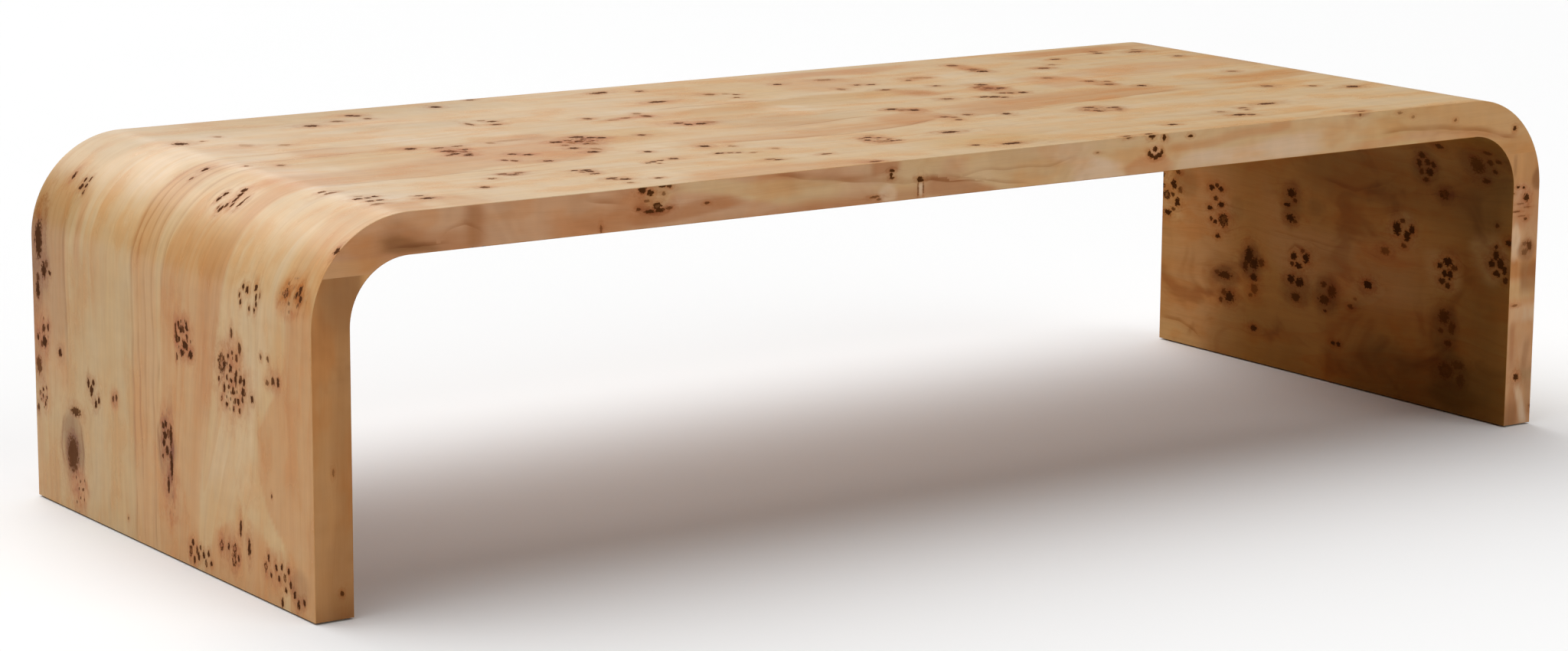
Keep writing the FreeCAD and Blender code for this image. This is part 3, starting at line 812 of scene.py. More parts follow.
# Burl eyes: place, half-length, half-width, darkness, how hollow the core is, and strength of the ring
OUTER_EYES = (
    # left leg, back leaf
    (-1112, 228, 20, 14.5, 0.68, 0, 0.3), (-1064, 218, 5, 12, 0.8, 0, 0),
    (-1026, 184, 5, 3, 1), (-1033, 177, 7, 4, 1), (-1024, 172, 4, 3, 0.9), (-1046, 167, 5, 3.5, 1),
    (-1041, 159, 4, 2.5, 0.9), (-1033, 124, 4, 2.5, 0.8), (-1030, 116, 4, 2.5, 0.8),
    (-1005, 254, 5, 4.5, 1), (-1028, 309, 10, 7, 0.7), (-999, 293, 7, 6, 1), (-985, 295, 5, 4, 0.8),
    (-982, 283, 4, 3, 0.8), (-997, 310, 4, 3, 0.9), (-1003, 300, 4, 3, 0.7), (-1076, 314, 4, 3, 0.8),
    (-944, 307, 10, 5, 0.9), (-930, 306, 5, 4, 0.7), (-920, 290, 9, 6, 0.9), (-912, 283, 5, 4, 0.6),
    (-921, 275, 3, 3, 0.9), (-888, 302, 22, 9, 0.9, 0, 1), (-1156, 94, 2, 1.5, 0.7),
    (-1078, -12, 16, 3, 1), (-1046, -12, 12, 3, 0.9), (-1048, 2, 4, 5, 1), (-1057, 5, 4, 4, 1),
    (-1039, 6, 4, 3, 0.9), (-1064, -2, 5, 4, 0.9), (-1071, 8, 3, 2, 0.8), (-1100, -4, 10, 2.5, 0.9),
    # left leg, front leaf
    (-954, -42, 4, 5, 1), (-945, -48, 5, 6, 1), (-953, -61, 5, 5, 1), (-930, -40, 4, 3, 0.9),
    (-925, -53, 5, 3, 0.9), (-940, -30, 6, 2.5, 0.9), (-960, -30, 4, 2, 0.8), (-931, -28, 8, 2, 0.8),
    (-949, -131, 10, 8, 1, 0.9), (-973, -135, 4, 3, 1), (-983, -165, 4, 3, 1), (-971, -175, 5, 3, 1),
    (-961, -160, 4, 3, 1), (-961, -169, 3, 2.5, 1), (-961, -178, 4, 3, 1), (-951, -150, 4, 3, 1),
    (-975, -195, 4, 3, 0.9), (-928, -170, 6, 3, 0.8), (-915, -153, 5, 2.5, 0.8),
    (-952, -228, 3, 4, 0.6), (-949, -240, 5, 3.5, 0.8), (-948, -251, 5, 3, 0.9),
    (-928, -215, 3, 2.5, 0.7), (-928, -230, 3, 2.5, 0.7),
    (-1066, -233, 2, 1.5, 0.8), (-1162, -70, 5, 2.5, 1), (-1139, -122, 6, 4, 1, 0.9),
    (-1149, -149, 7, 4.5, 1, 0.9), (-1137, -151, 6, 3.5, 1, 0.9), (-1137, -138, 4, 2.5, 1),
    (-1145, -159, 4, 2.5, 1), (-1112, -165, 9, 2.5, 0.9), (-1129, -183, 9, 3.5, 1),
    (-1141, -218, 5, 3.5, 0.9, 0.7), (-1131, -224, 4, 2.5, 1), (-1147, -229, 3, 2, 0.9),
    (-1137, -240, 4, 2.5, 1), (-1147, -246, 4, 2.5, 1), (-1134, -252, 4, 2.5, 1),
    (-1144, -258, 4, 3, 0.9, 0.6),
    (-1135, -266, 4, 2.5, 1), (-1148, -270, 4, 2.5, 1), (-1156, -260, 3, 2.5, 0.9),
    (-1170, -252, 5, 2.5, 1), (-1157, -278, 4, 3, 1), (-1165, -286, 5, 3, 1), (-1160, -298, 4, 3, 1),
    (-1160, -52, 6, 3.5, 1, 0.5), (-1150, -57, 4, 2.5, 1), (-1168, -60, 4, 2.5, 0.9),
    (-1156, -66, 4, 2.5, 0.9),
    (-1158, -81, 4, 3, 1), (-1166, -86, 4, 3, 1, 0.5), (-1155, -92, 4, 2.5, 0.9), (-1164, -98, 3, 2.5, 0.9),
    (-1152, -74, 3, 2, 0.8),
    # left bend
    (-808, 265, 5, 3, 1), (-818, 235, 4, 4, 1), (-809, 236, 3, 3, 0.9), (-815, 226, 3, 2.5, 1),
    (-806, 226, 4, 2, 0.9),
    (-823, 224, 3, 2, 0.8), (-709, 187, 9, 8, 0.9), (-680, 192, 3, 2.5, 0.6), (-652, 211, 4, 6, 0.4),
    (-750, 48, 5, 3.5, 0.9), (-769, 45, 3, 2, 0.7), (-719, 14, 3, 3, 0.7), (-687, -1, 5, 5, 0.6),
    (-784, -42, 4, 3, 1), (-776, -44, 4, 3.5, 1), (-795, -62, 5, 3, 1), (-789, -66, 4, 2.5, 0.8),
    (-794, -55, 3, 2, 0.6), (-787, -75, 4, 2, 0.9), (-779, -71, 5, 2.5, 1), (-771, -69, 4, 3.5, 1),
    (-764, -65, 4, 5, 1), (-782, -87, 6, 2.2, 0.9), (-773, -86, 4, 1.6, 0.8),
    (-880, -173, 3, 2, 1), (-873, -170, 3, 2, 1), (-864, -176, 3, 2.5, 0.9), (-866, -185, 4, 3.5, 1),
    (-884, -192, 3, 2, 0.8), (-884, -203, 3, 2, 0.9), (-877, -206, 3, 2, 0.9), (-870, -205, 3.5, 2, 0.9),
    (-861, -202, 4, 3, 0.9), (-868, -212, 3, 1.5, 0.6),
    (-857, -263, 5, 4, 0.9, 0.8), (-850, -289, 5, 3, 1), (-858, -293, 4, 3, 1), (-855, -284, 4, 2.5, 0.9),
    (-802, -316, 6, 3.5, 0.9), (-730, -169, 5, 3, 0.8), (-726, -181, 7, 3, 0.7),
    (-722, -229, 5, 4, 1), (-711, -230, 4, 3, 0.9), (-701, -226, 4, 4, 1), (-718, -247, 5, 3.5, 0.9),
    (-707, -247, 4, 3.5, 0.9), (-720, -266, 8, 4, 0.45), (-714, -217, 5, 3, 0.4),
    (-662, -246, 5, 3, 0.8), (-662, -263, 8, 5, 0.95),
    # top, left third
    (-528, 229, 9, 8, 0.8), (-487, 245, 7, 6, 0.6), (-454, 276, 6, 6, 0.9), (-448, 270, 6, 5, 0.9),
    (-448, 245, 5, 5, 0.7), (-338, 284, 7, 7, 0.9), (-276, 313, 6, 4, 0.8), (-580, -236, 6, 5, 0.8),
    (-518, 25, 7, 6, 1), (-490, 15, 8, 4, 0.7), (-466, 15, 7, 4, 0.6), (-490, -12, 6, 8, 0.7),
    (-506, -36, 4, 4, 0.7),
    (-487, -45, 6, 5, 1), (-480, -24, 4, 4, 0.5), (-445, -64, 5, 5, 0.9), (-432, -76, 6, 5, 1),
    (-473, -96, 4, 5, 0.7),
    (-466, -104, 4, 6, 0.7), (-437, -124, 6, 5, 0.8), (-546, -193, 5, 4, 0.7), (-524, -173, 5, 4, 0.6),
    (-514, -183, 6, 4, 0.7), (-503, -175, 6, 4, 0.5), (-447, -193, 5, 3, 0.9), (-436, -197, 6, 4, 1),
    (-437, -206, 4, 6, 1), (-446, -206, 3, 3, 0.7), (-441, -222, 6, 3.5, 0.8), (-442, -256, 7, 4, 0.9),
    (-433, -268, 6, 5, 0.9), (-443, -265, 3, 4, 0.5), (-400, -280, 5, 4, 0.8), (-440, -290, 4, 4, 0.5),
    (-374, 147, 4, 9, 0.7), (-341, 152, 6, 5, 0.8), (-349, 130, 7, 5, 0.8), (-349, 163, 5, 4, 0.5),
    (-400, 20, 20, 5, 0.25), (-424, 16, 5, 6, 0.4), (-655, 140, 8, 10, 0.25), (-618, 121, 8, 6, 0.35),
    (-362, -17, 8, 6, 0.9), (-350, -30, 5, 8, 0.4), (-336, -24, 5, 6, 0.6), (-334, -45, 7, 10, 0.35),
    (-321, 1, 6, 6, 1), (-312, -9, 6, 5, 1), (-303, -16, 6, 5, 1), (-368, -64, 6, 5, 1),
    (-365, -42, 5, 5, 0.5),
    (-364, -97, 7, 6, 1), (-350, -80, 5, 8, 0.4), (-356, -192, 4, 3, 0.8), (-347, -188, 4, 4, 0.9),
    (-336, -184, 5, 3, 0.8), (-347, -200, 3, 3, 0.6), (-317, -181, 6, 5, 0.9), (-314, -126, 5, 5, 0.9),
    # top, middle
    (-121, 282, 11, 6, 0.8), (-112, 284, 6, 6, 0.9), (-70, 270, 5, 5, 0.8), (-100, 184, 12, 6, 0.95),
    (-15, 203, 7, 7, 0.6), (-2, 165, 4, 4, 0.7), (11, 186, 4, 5, 0.7), (3, 197, 5, 4, 0.4),
    (-240, 113, 6, 6, 0.7), (-172, 117, 5, 6, 0.5), (-201, 95, 7, 4, 0.6), (-173, 95, 6, 9, 0.7),
    (-222, 89, 8, 4, 0.4),
    (-172, 30, 7, 5, 0.8), (-168, 16, 5, 6, 0.9), (-153, 13, 7, 6, 1), (-140, 18, 10, 6, 0.35),
    (-255, -23, 5, 6, 0.8), (-242, -127, 7, 6, 1), (-216, -143, 5, 6, 0.4), (-256, -177, 6, 4, 0.9),
    (-244, -180, 4, 3, 0.6), (-236, -184, 4, 3, 0.8), (-222, -191, 5, 3, 0.5), (-186, -180, 5, 5, 0.4),
    (-233, -239, 7, 4, 0.6), (-228, -247, 5, 3, 0.9), (-162, -241, 7, 4, 0.7), (-56, -170, 5, 4, 0.9),
    (-46, -160, 8, 5, 0.3), (-68, -187, 4, 4, 0.7), (-58, -203, 10, 7, 0.4), (-39, -204, 4, 3, 0.9),
    (44, -186, 12, 6, 1), (11, -277, 5, 4, 0.9), (52, -288, 14, 6, 0.9), (-148, -311, 8, 4, 0.7),
    (102, 232, 6, 5, 0.9), (172, 235, 12, 8, 0.45), (180, 177, 5, 4, 0.8), (196, 171, 6, 4, 0.8),
    (142, 157, 5, 8, 0.5), (184, 125, 6, 5, 0.8), (200, 25, 9, 7, 0.6), (205, 84, 16, 14, 0.15),
    (94, -9, 8, 6, 1), (112, -28, 7, 7, 0.95), (101, -20, 8, 5, 0.5), (110, -90, 6, 5, 0.7),
    (116, -98, 5, 5, 0.5),
    (110, -116, 5, 4, 0.8), (142, -90, 6, 6, 0.7), (184, -108, 6, 6, 0.9),
    # top, right third
    (256, 121, 6, 5, 0.7), (256, 177, 5, 4, 0.8), (278, 190, 12, 7, 0.35), (290, 185, 6, 5, 0.4),
    (308, 100, 8, 7, 0.8), (310, 65, 6, 5, 0.8), (298, 75, 6, 6, 0.5), (283, 60, 5, 5, 0.4),
    (247, 15, 8, 5, 1), (257, 9, 8, 6, 1), (265, 0, 5, 4, 0.9), (285, 30, 6, 5, 0.7), (293, 25, 5, 5, 0.8),
    (309, 21, 6, 6, 1), (383, 258, 8, 8, 0.7), (384, 215, 7, 8, 0.6), (382, 195, 8, 7, 1),
    (375, 205, 4, 4, 0.6),
    (296, -119, 8, 6, 0.7), (288, -143, 5, 5, 0.7), (322, -134, 6, 5, 0.8), (318, -147, 5, 5, 0.7),
    (310, -158, 4, 4, 0.4), (291, -274, 7, 5, 1), (405, -256, 10, 6, 1), (417, -262, 6, 5, 0.8),
    (403, -226, 6, 5, 0.5), (222, -315, 6, 3, 0.9), (190, -315, 6, 3, 0.8), (413, 105, 8, 8, 0.5),
    (438, 55, 6, 6, 0.7), (455, 43, 5, 5, 0.6), (440, 22, 7, 6, 0.7), (467, -8, 6, 6, 1),
    (464, 178, 9, 7, 0.7),
    (493, 198, 6, 5, 0.5), (530, 237, 8, 5, 0.8), (617, 268, 6, 7, 0.5), (613, 254, 7, 5, 0.8),
    (663, 240, 11, 6, 0.7), (676, 258, 6, 6, 0.4), (683, 180, 7, 6, 0.7), (645, 32, 7, 6, 0.6),
    (592, -92, 8, 8, 0.6), (640, -120, 6, 5, 0.7), (677, -150, 9, 7, 1), (491, -205, 12, 6, 1),
    (445, -216, 6, 5, 0.7), (439, -230, 4, 3, 0.8), (543, -310, 6, 3, 0.7), (782, -37, 5, 4, 0.9),
    # right bend and leg, out of sight
    (905, 66, 9, 6, 0.8), (1062, -286, 16, 11, 0.75, 0, 0.4), (956, 148, 5, 3.5, 0.9), (1120, 12, 7, 4, 0.9),
    (1166, -96, 5, 3, 0.8), (838, -120, 6, 4, 0.8), (1008, 30, 4, 3, 0.7), (930, -190, 5, 3, 0.8),
)
# Clusters of small eyes: place, reach along, reach across and count
OUTER_CLUSTERS = (
    (-1062, 297, 14, 12, 7), (-934, -46, 18, 16, 5), (-965, -150, 32, 30, 22),
    (-1053, -4, 20, 10, 3),
    (-513, -178, 14, 9, 3), (-330, -22, 22, 26, 6), (-58, -190, 16, 20, 5), (296, 70, 16, 22, 5),
    (300, -135, 20, 18, 4), (-484, -16, 14, 26, 4),
    # right bend and leg, out of sight
    (872, 196, 16, 14, 8), (968, -64, 24, 15, 13), (1086, 112, 26, 12, 11), (1128, -222, 18, 22, 12),
    (1012, 276, 12, 14, 7), (858, -246, 14, 10, 6), (1150, 250, 14, 10, 7), (1040, -164, 12, 9, 5),
)
# Bands: tone, strength, softness of the front and back edges, fade at the ends, and points with
# the depths of both edges
OUTER_BANDS = (
    # The pale band over the whole top is painted sheen; the honey band over the left leg is painted too,
    # warming it where less sheen falls.
    ("pale", 0.35, 30, 30, 60, ((-820, -330, 330), (790, -330, 330))),
    ("honey", 0.5, 30, 30, 50, ((-1190, -330, 330), (-870, -330, 330))),
    # left leg and bend, back leaf
    ("olive", 0.2, 40, 30, 60, ((-1190, 70, 345), (-960, 70, 345), (-870, 70, 345))),
    ("tan", 0.6, 6, 40, 30, ((-1045, 238, 330), (-950, 236, 330), (-850, 236, 330), (-805, 250, 330))),
    ("tan", 0.4, 16, 16, 20, ((-1180, 300, 330), (-1085, 304, 330))),
    ("brown", 0.3, 24, 10, 40, ((-1050, 296, 345), (-840, 296, 345))),
    ("brown", 0.25, 20, 20, 30, ((-1000, 240, 345), (-860, 236, 345))),
    ("orange", 0.5, 8, 10, 16, ((-905, 198, 212), (-860, 200, 216), (-815, 204, 222))),
    ("honey", 0.3, 30, 30, 30, ((-1170, 90, 130), (-1000, 100, 150), (-860, 90, 130))),
    ("tan", 0.55, 10, 5, 60, ((-1190, 18, 73), (-900, 16, 72), (-700, 20, 72), (-560, 24, 75))),
    # left leg and bend, front leaf
    ("tan", 0.64, 6, 12, 25, ((-1190, -60, 16), (-1106, -76, 16), (-1006, -97, 12), (-937, -117, 8),
                              (-903, -128, 2), (-860, -133, -4), (-815, -135, -12))),
    ("tan", 0.5, 6, 20, 30, ((-810, -136, -30), (-760, -137, -60), (-700, -140, -60))),
    ("orange", 0.5, 6, 26, 25, ((-1010, -97, -70), (-937, -117, -80), (-870, -131, -90), (-830, -134, -90))),
    ("orange", 0.35, 6, 26, 25, ((-815, -136, -110), (-740, -138, -112))),
    ("tan", 0.8, 40, 6, 12, ((-1112, -330, -262), (-1085, -330, -225), (-1050, -330, -206),
                             (-1005, -330, -205), (-970, -330, -232), (-930, -330, -262),
                             (-880, -330, -268), (-860, -330, -290))),
    ("pale", 0.3, 30, 30, 20, ((-1080, -200, -90), (-1000, -200, -120), (-880, -250, -140),
                               (-800, -250, -140))),
    ("tan", 0.75, 14, 14, 14, ((-1190, -250, -70), (-1150, -250, -92), (-1125, -240, -110),
                               (-1108, -210, -150))),
    ("tan", 0.75, 12, 10, 16, ((-1190, -330, -262), (-1150, -330, -275), (-1110, -330, -262))),
    ("tan", 0.45, 16, 16, 40, ((-870, -330, -262), (-800, -330, -258), (-720, -330, -262))),
    # top, left third
    # The next three olive bands dim the sheen on the left bend and along the back beyond it: painted shade.
    ("olive", 0.15, 20, 20, 14, ((-778, -345, 345), (-748, -345, 345))),
    ("olive", 0.3, 24, 30, 30, ((-870, 215, 345), (-800, 215, 345))),
    ("olive", 0.15, 24, 30, 30, ((-780, 215, 345), (-640, 215, 345))),
    ("olive", 0.2, 30, 30, 20, ((-800, 90, 200), (-742, 90, 200))),
    # The pale and blush bands just past the left bend carry its highlight onto the top: painted highlight.
    ("pale", 1, 20, 20, 14, ((-728, -345, 345), (-640, -345, 345))),
    ("blush", 0.9, 20, 60, 14, ((-728, -345, 40), (-680, -345, 40))),
    ("tan", 0.6, 5, 34, 40, ((-760, -136, -62), (-680, -143, -66), (-620, -150, -62), (-560, -143, -50),
                             (-500, -128, -20), (-440, -130, -10), (-400, -130, 0), (-370, -112, 20),
                             (-345, -60, 30))),
    ("pink", 0.45, 20, 30, 30, ((-500, -110, 20), (-440, -110, 30), (-390, -60, 50), (-340, -50, 50))),
    ("tan", 0.5, 14, 14, 24, ((-730, -330, -262), (-640, -330, -266), (-590, -330, -280))),
    ("tan", 0.5, 14, 20, 30, ((-380, -330, -262), (-320, -330, -262), (-200, -330, -280),
                              (-140, -330, -296))),
    # Darker along the back of the top's left part, where less sheen falls: painted shade.
    ("honey", 0.5, 30, 20, 60, ((-720, 225, 330), (-560, 250, 330), (-340, 285, 330))),
    ("honey", 0.45, 20, 20, 40, ((-720, -30, 28), (-600, -34, 28), (-520, -30, 40))),
    ("pale", 0.6, 40, 50, 40, ((-520, 70, 235), (-450, 60, 240), (-380, 70, 200))),
    # Paler towards the front of the top's left part: painted sheen.
    ("pale", 0.6, 30, 30, 50, ((-730, -240, -150), (-660, -240, -155), (-560, -225, -160))),
    ("pale", 0.6, 20, 20, 40, ((-800, 85, 230), (-740, 85, 200), (-640, 90, 160))),
    # Darker along the back, where less sheen falls: painted shade.
    ("olive", 0.2, 50, 20, 60, ((-790, 215, 330), (-600, 225, 330), (-260, 250, 330))),
    ("olive", 0.18, 20, 20, 30, ((-520, 160, 200), (-440, 150, 195), (-370, 150, 185))),
    # Paler along the front edge: painted sheen.
    ("pale", 0.5, 30, 40, 50, ((-750, -330, -150), (-600, -330, -160), (-500, -330, -170))),
    ("tan", 0.55, 14, 14, 10, ((-382, 2, 48), (-346, 0, 46))),
    # top, middle
    ("tan", 0.7, 6, 50, 40, ((-240, -112, -84), (-200, -118, -90), (-120, -138, -104), (-60, -128, -90),
                             (0, -130, -80), (60, -112, -60), (95, -96, -50))),
    ("tan", 0.35, 30, 30, 30, ((-110, -80, 4), (-60, -70, 20), (-15, -60, 6))),
    ("olive", 0.16, 20, 30, 30, ((-150, -40, 30), (-60, -56, 40), (40, -50, 10))),
    ("tan", 0.5, 60, 5, 40, ((-140, 40, 96), (-100, 56, 114), (-60, 64, 120), (0, 80, 119), (60, 84, 130),
                             (200, 80, 128))),
    ("honey", 0.6, 60, 5, 40, ((-140, 30, 96), (-100, 40, 114), (-60, 50, 120), (0, 60, 119), (60, 60, 130),
                               (200, 70, 128))),
    ("pale", 0.6, 14, 14, 16, ((-30, 10, 80), (0, 10, 80), (25, 20, 70))),
    ("pink", 0.8, 6, 6, 14, ((-225, 86, 98), (-190, 84, 98), (-160, 86, 96))),
    ("honey", 0.5, 30, 30, 50, ((-70, 160, 300), (20, 150, 310), (100, 170, 300))),
    ("honey", 0.6, 20, 20, 40, ((-30, -290, -215), (40, -290, -215), (110, -300, -230))),
    ("honey", 0.6, 50, 6, 30, ((-335, -60, 24), (-300, -60, 28), (-215, -40, 28))),
    ("pale", 0.4, 30, 30, 40, ((-330, 120, 240), (-240, 130, 240), (-130, 120, 200))),
    # top, right third
    ("orange", 0.7, 20, 14, 70, ((110, 264, 300), (200, 260, 302), (260, 254, 300), (315, 262, 300))),
    ("tan", 0.5, 20, 20, 24, ((90, 160, 250), (130, 150, 255), (170, 155, 245), (215, 180, 220))),
    ("orange", 0.6, 14, 14, 12, ((180, 60, 112), (200, 56, 116), (222, 60, 100))),
    ("orange", 0.6, 5, 40, 40, ((150, -95, -20), (220, -91, -10), (280, -79, -4), (360, -73, 0),
                                (440, -69, -4), (480, -62, -20))),
    ("orange", 0.5, 6, 20, 14, ((30, -125, -50), (80, -106, -40), (110, -90, -40))),
    ("pink", 0.7, 16, 16, 14, ((370, 20, 125), (400, 30, 128), (440, 20, 110))),
    ("pale", 0.6, 24, 24, 20, ((295, 110, 225), (330, 100, 230), (365, 120, 220))),
    ("orange", 0.8, 10, 20, 70, ((495, 256, 290), (540, 264, 300), (600, 270, 306), (690, 272, 306))),
    ("pink", 0.6, 40, 5, 50, ((440, 60, 124), (500, 70, 145), (560, 80, 155), (620, 80, 150), (655, 80, 141),
                             (720, 90, 150))),
    ("tan", 0.7, 6, 30, 40, ((570, -52, 4), (650, -50, 10), (720, -36, 14))),
    ("pale", 0.45, 10, 16, 40, ((510, 30, 62), (580, 46, 68), (650, 30, 60))),
    ("pale", 0.3, 40, 40, 60, ((120, -240, -110), (400, -230, -110), (620, -300, -180))),
    # right bend and leg
    ("tan", 0.7, 6, 24, 40, ((720, 60, 150), (900, 40, 140), (1040, 60, 150), (1190, 50, 130))),
    ("orange", 0.4, 16, 16, 40, ((720, 240, 306), (900, 250, 310), (1190, 262, 312))),
    ("pale", 0.5, 20, 6, 40, ((700, -210, -90), (880, -230, -100), (1190, -200, -120))),
    ("tan", 0.6, 20, 20, 40, ((860, -330, -250), (1190, -330, -262))),
)
# Oval patches: tone, strength, place, reach along and reach across
OUTER_PATCHES = (
    ("olive", 0.6, -1102, 228, 41, 25), ("brown", 0.3, -1102, 228, 41, 25),
    ("brown", 0.8, -1110, 228, 24, 18), ("orange", 0.8, -1152, 214, 28, 24),
    ("orange", 0.6, -1033, 121, 14, 12), ("orange", 0.7, -988, 294, 30, 20),
    ("brown", 0.4, -900, 300, 50, 26),
    ("orange", 0.6, -1030, 0, 18, 16), ("orange", 0.8, -938, -44, 28, 26),
    ("orange", 0.5, -935, -158, 16, 26),
    ("orange", 0.5, -1140, -140, 26, 28), ("orange", 0.4, -1142, -248, 22, 30),
    ("brown", 0.4, -1150, -290, 22, 20), ("orange", 0.7, -860, -276, 26, 32),
    ("orange", 0.45, -945, -240, 14, 18), ("orange", 0.35, -964, -170, 30, 30),
    ("brown", 0.55, -1068, -2, 44, 19), ("orange", 0.6, -1110, -10, 42, 22),
    ("pale", 1, -768, 128, 34, 44), ("pale", 0.5, -776, -66, 30, 34), ("tan", 0.25, -680, 118, 34, 26),
    ("tan", 0.4, -705, -300, 24, 32), ("tan", 0.4, -640, -300, 28, 38), ("orange", 0.4, -330, -20, 30, 44),
    # The pale patches near the eyes on this line and at (-392, -262), (-168, 122) and (330, 150) are the
    # bright shimmer of the figure: painted sheen.
    ("pale", 0.8, -465, 216, 26, 20), ("pale", 0.9, -495, 95, 24, 46), ("pale", 0.8, -388, 92, 22, 52),
    ("pale", 0.7, -392, -262, 34, 34), ("pale", 0.6, -300, -110, 24, 26), ("tan", 0.35, -398, -88, 20, 46),
    ("pink", 0.45, -172, 28, 40, 22), ("orange", 0.45, -155, 14, 26, 14), ("pink", 0.45, -192, 92, 34, 12),
    ("orange", 0.4, -488, -10, 16, 30), ("orange", 0.35, -350, -75, 22, 22),
    ("orange", 0.3, -439, -205, 16, 16),
    ("pale", 0.7, -168, 122, 24, 22), ("pale", 0.8, -2, 58, 24, 30), ("pale", 0.6, 330, 150, 26, 50),
    ("orange", 0.4, 108, -34, 24, 30), ("orange", 0.4, 112, -84, 18, 24), ("orange", 0.4, 300, 60, 22, 44),
    ("orange", 0.45, 383, 222, 16, 46), ("tan", 0.35, 275, 185, 30, 16), ("tan", 0.4, 280, -140, 36, 20),
    ("pale", 0.6, 282, -106, 14, 9), ("pale", 0.5, 460, 72, 16, 40), ("pale", 0.6, 446, 150, 18, 18),
    ("orange", 0.3, 672, 240, 22, 20), ("orange", 0.4, 462, 180, 20, 12), ("orange", 0.4, 440, 35, 18, 34),
    ("pale", 0.6, 545, -192, 46, 16), ("pale", 0.5, 655, -100, 26, 14), ("honey", 0.5, -235, -200, 34, 60),
    ("orange", 0.4, 540, -306, 22, 12), ("orange", 0.45, -155, -306, 26, 16), ("pale", 0.5, 660, 30, 24, 16),
)
OUTER_FLOWS = (
    (-1210, -110, 210, 85, 70), (-1190, 0, 160, 40, 16), (-1100, 225, 60, 60, 6),
    (-640, -100, 200, 80, -18), (-60, -130, 150, 70, -22), (460, -60, 160, 80, 22),
    (140, 180, 120, 60, 14), (1000, -40, 260, 120, 40), (-300, 60, 120, 60, 14),
)
# Grain lines: width, strength, and points along and across the grain
OUTER_LINES = (
    (2.0, 0.5, ((-1190, 73), (-1040, 72), (-880, 71), (-720, 68), (-560, 75))),
    (1.6, 0.45, ((-1080, 44), (-980, 43), (-860, 42), (-700, 40))),
    (1.6, 0.42, ((-1190, 26), (-1000, 24), (-800, 24), (-560, 28))),
    (1.8, 0.45, ((-1010, 14), (-940, 8), (-870, 0), (-700, -8))),
    (3.6, 1, ((-1115, 2), (-1100, -9), (-1080, -15), (-1055, -18), (-1028, -6))),
    (2.2, 0.8, ((-1100, 5), (-1075, 14), (-1045, 17), (-1024, 6))),
    (1.6, 0.7, ((-1146, 232), (-1134, 247), (-1108, 256), (-1078, 250), (-1058, 234))),
    (1.6, 0.7, ((-1150, 222), (-1136, 208), (-1106, 200), (-1076, 205), (-1058, 222))),
    (2.0, 0.7, ((-1178, 224), (-1160, 216), (-1148, 206))),
    (1.8, 0.6, ((-1060, 236), (-960, 235), (-850, 238))),
    (1.4, 0.6, ((-806, -38), (-792, -29), (-776, -27), (-760, -34))),
    (1.4, 0.6, ((-800, -90), (-788, -97), (-772, -95), (-758, -84))),
    (1.4, 0.5, ((-1190, 52), (-1040, 56), (-880, 58), (-700, 56))),
    (1.6, 0.55, ((-910, 215), (-820, 199))),
    (2.0, 0.6, ((-150, 132), (0, 126), (90, 108))),
    (1.4, 0.6, ((-100, -60), (-20, -48), (80, -33))),
    (1.6, 0.5, ((-720, -146), (-600, -147), (-480, -146), (-380, -131))),
    (2.0, 0.55, ((-220, -118), (-60, -137), (40, -121), (100, -98))),
    (1.6, 0.45, ((190, -96), (300, -83), (440, -63), (500, -54))),
    (1.6, 0.45, ((480, 254), (600, 252), (720, 256))),
    (1.6, 0.4, ((900, 38), (1040, 58), (1180, 48))),
)

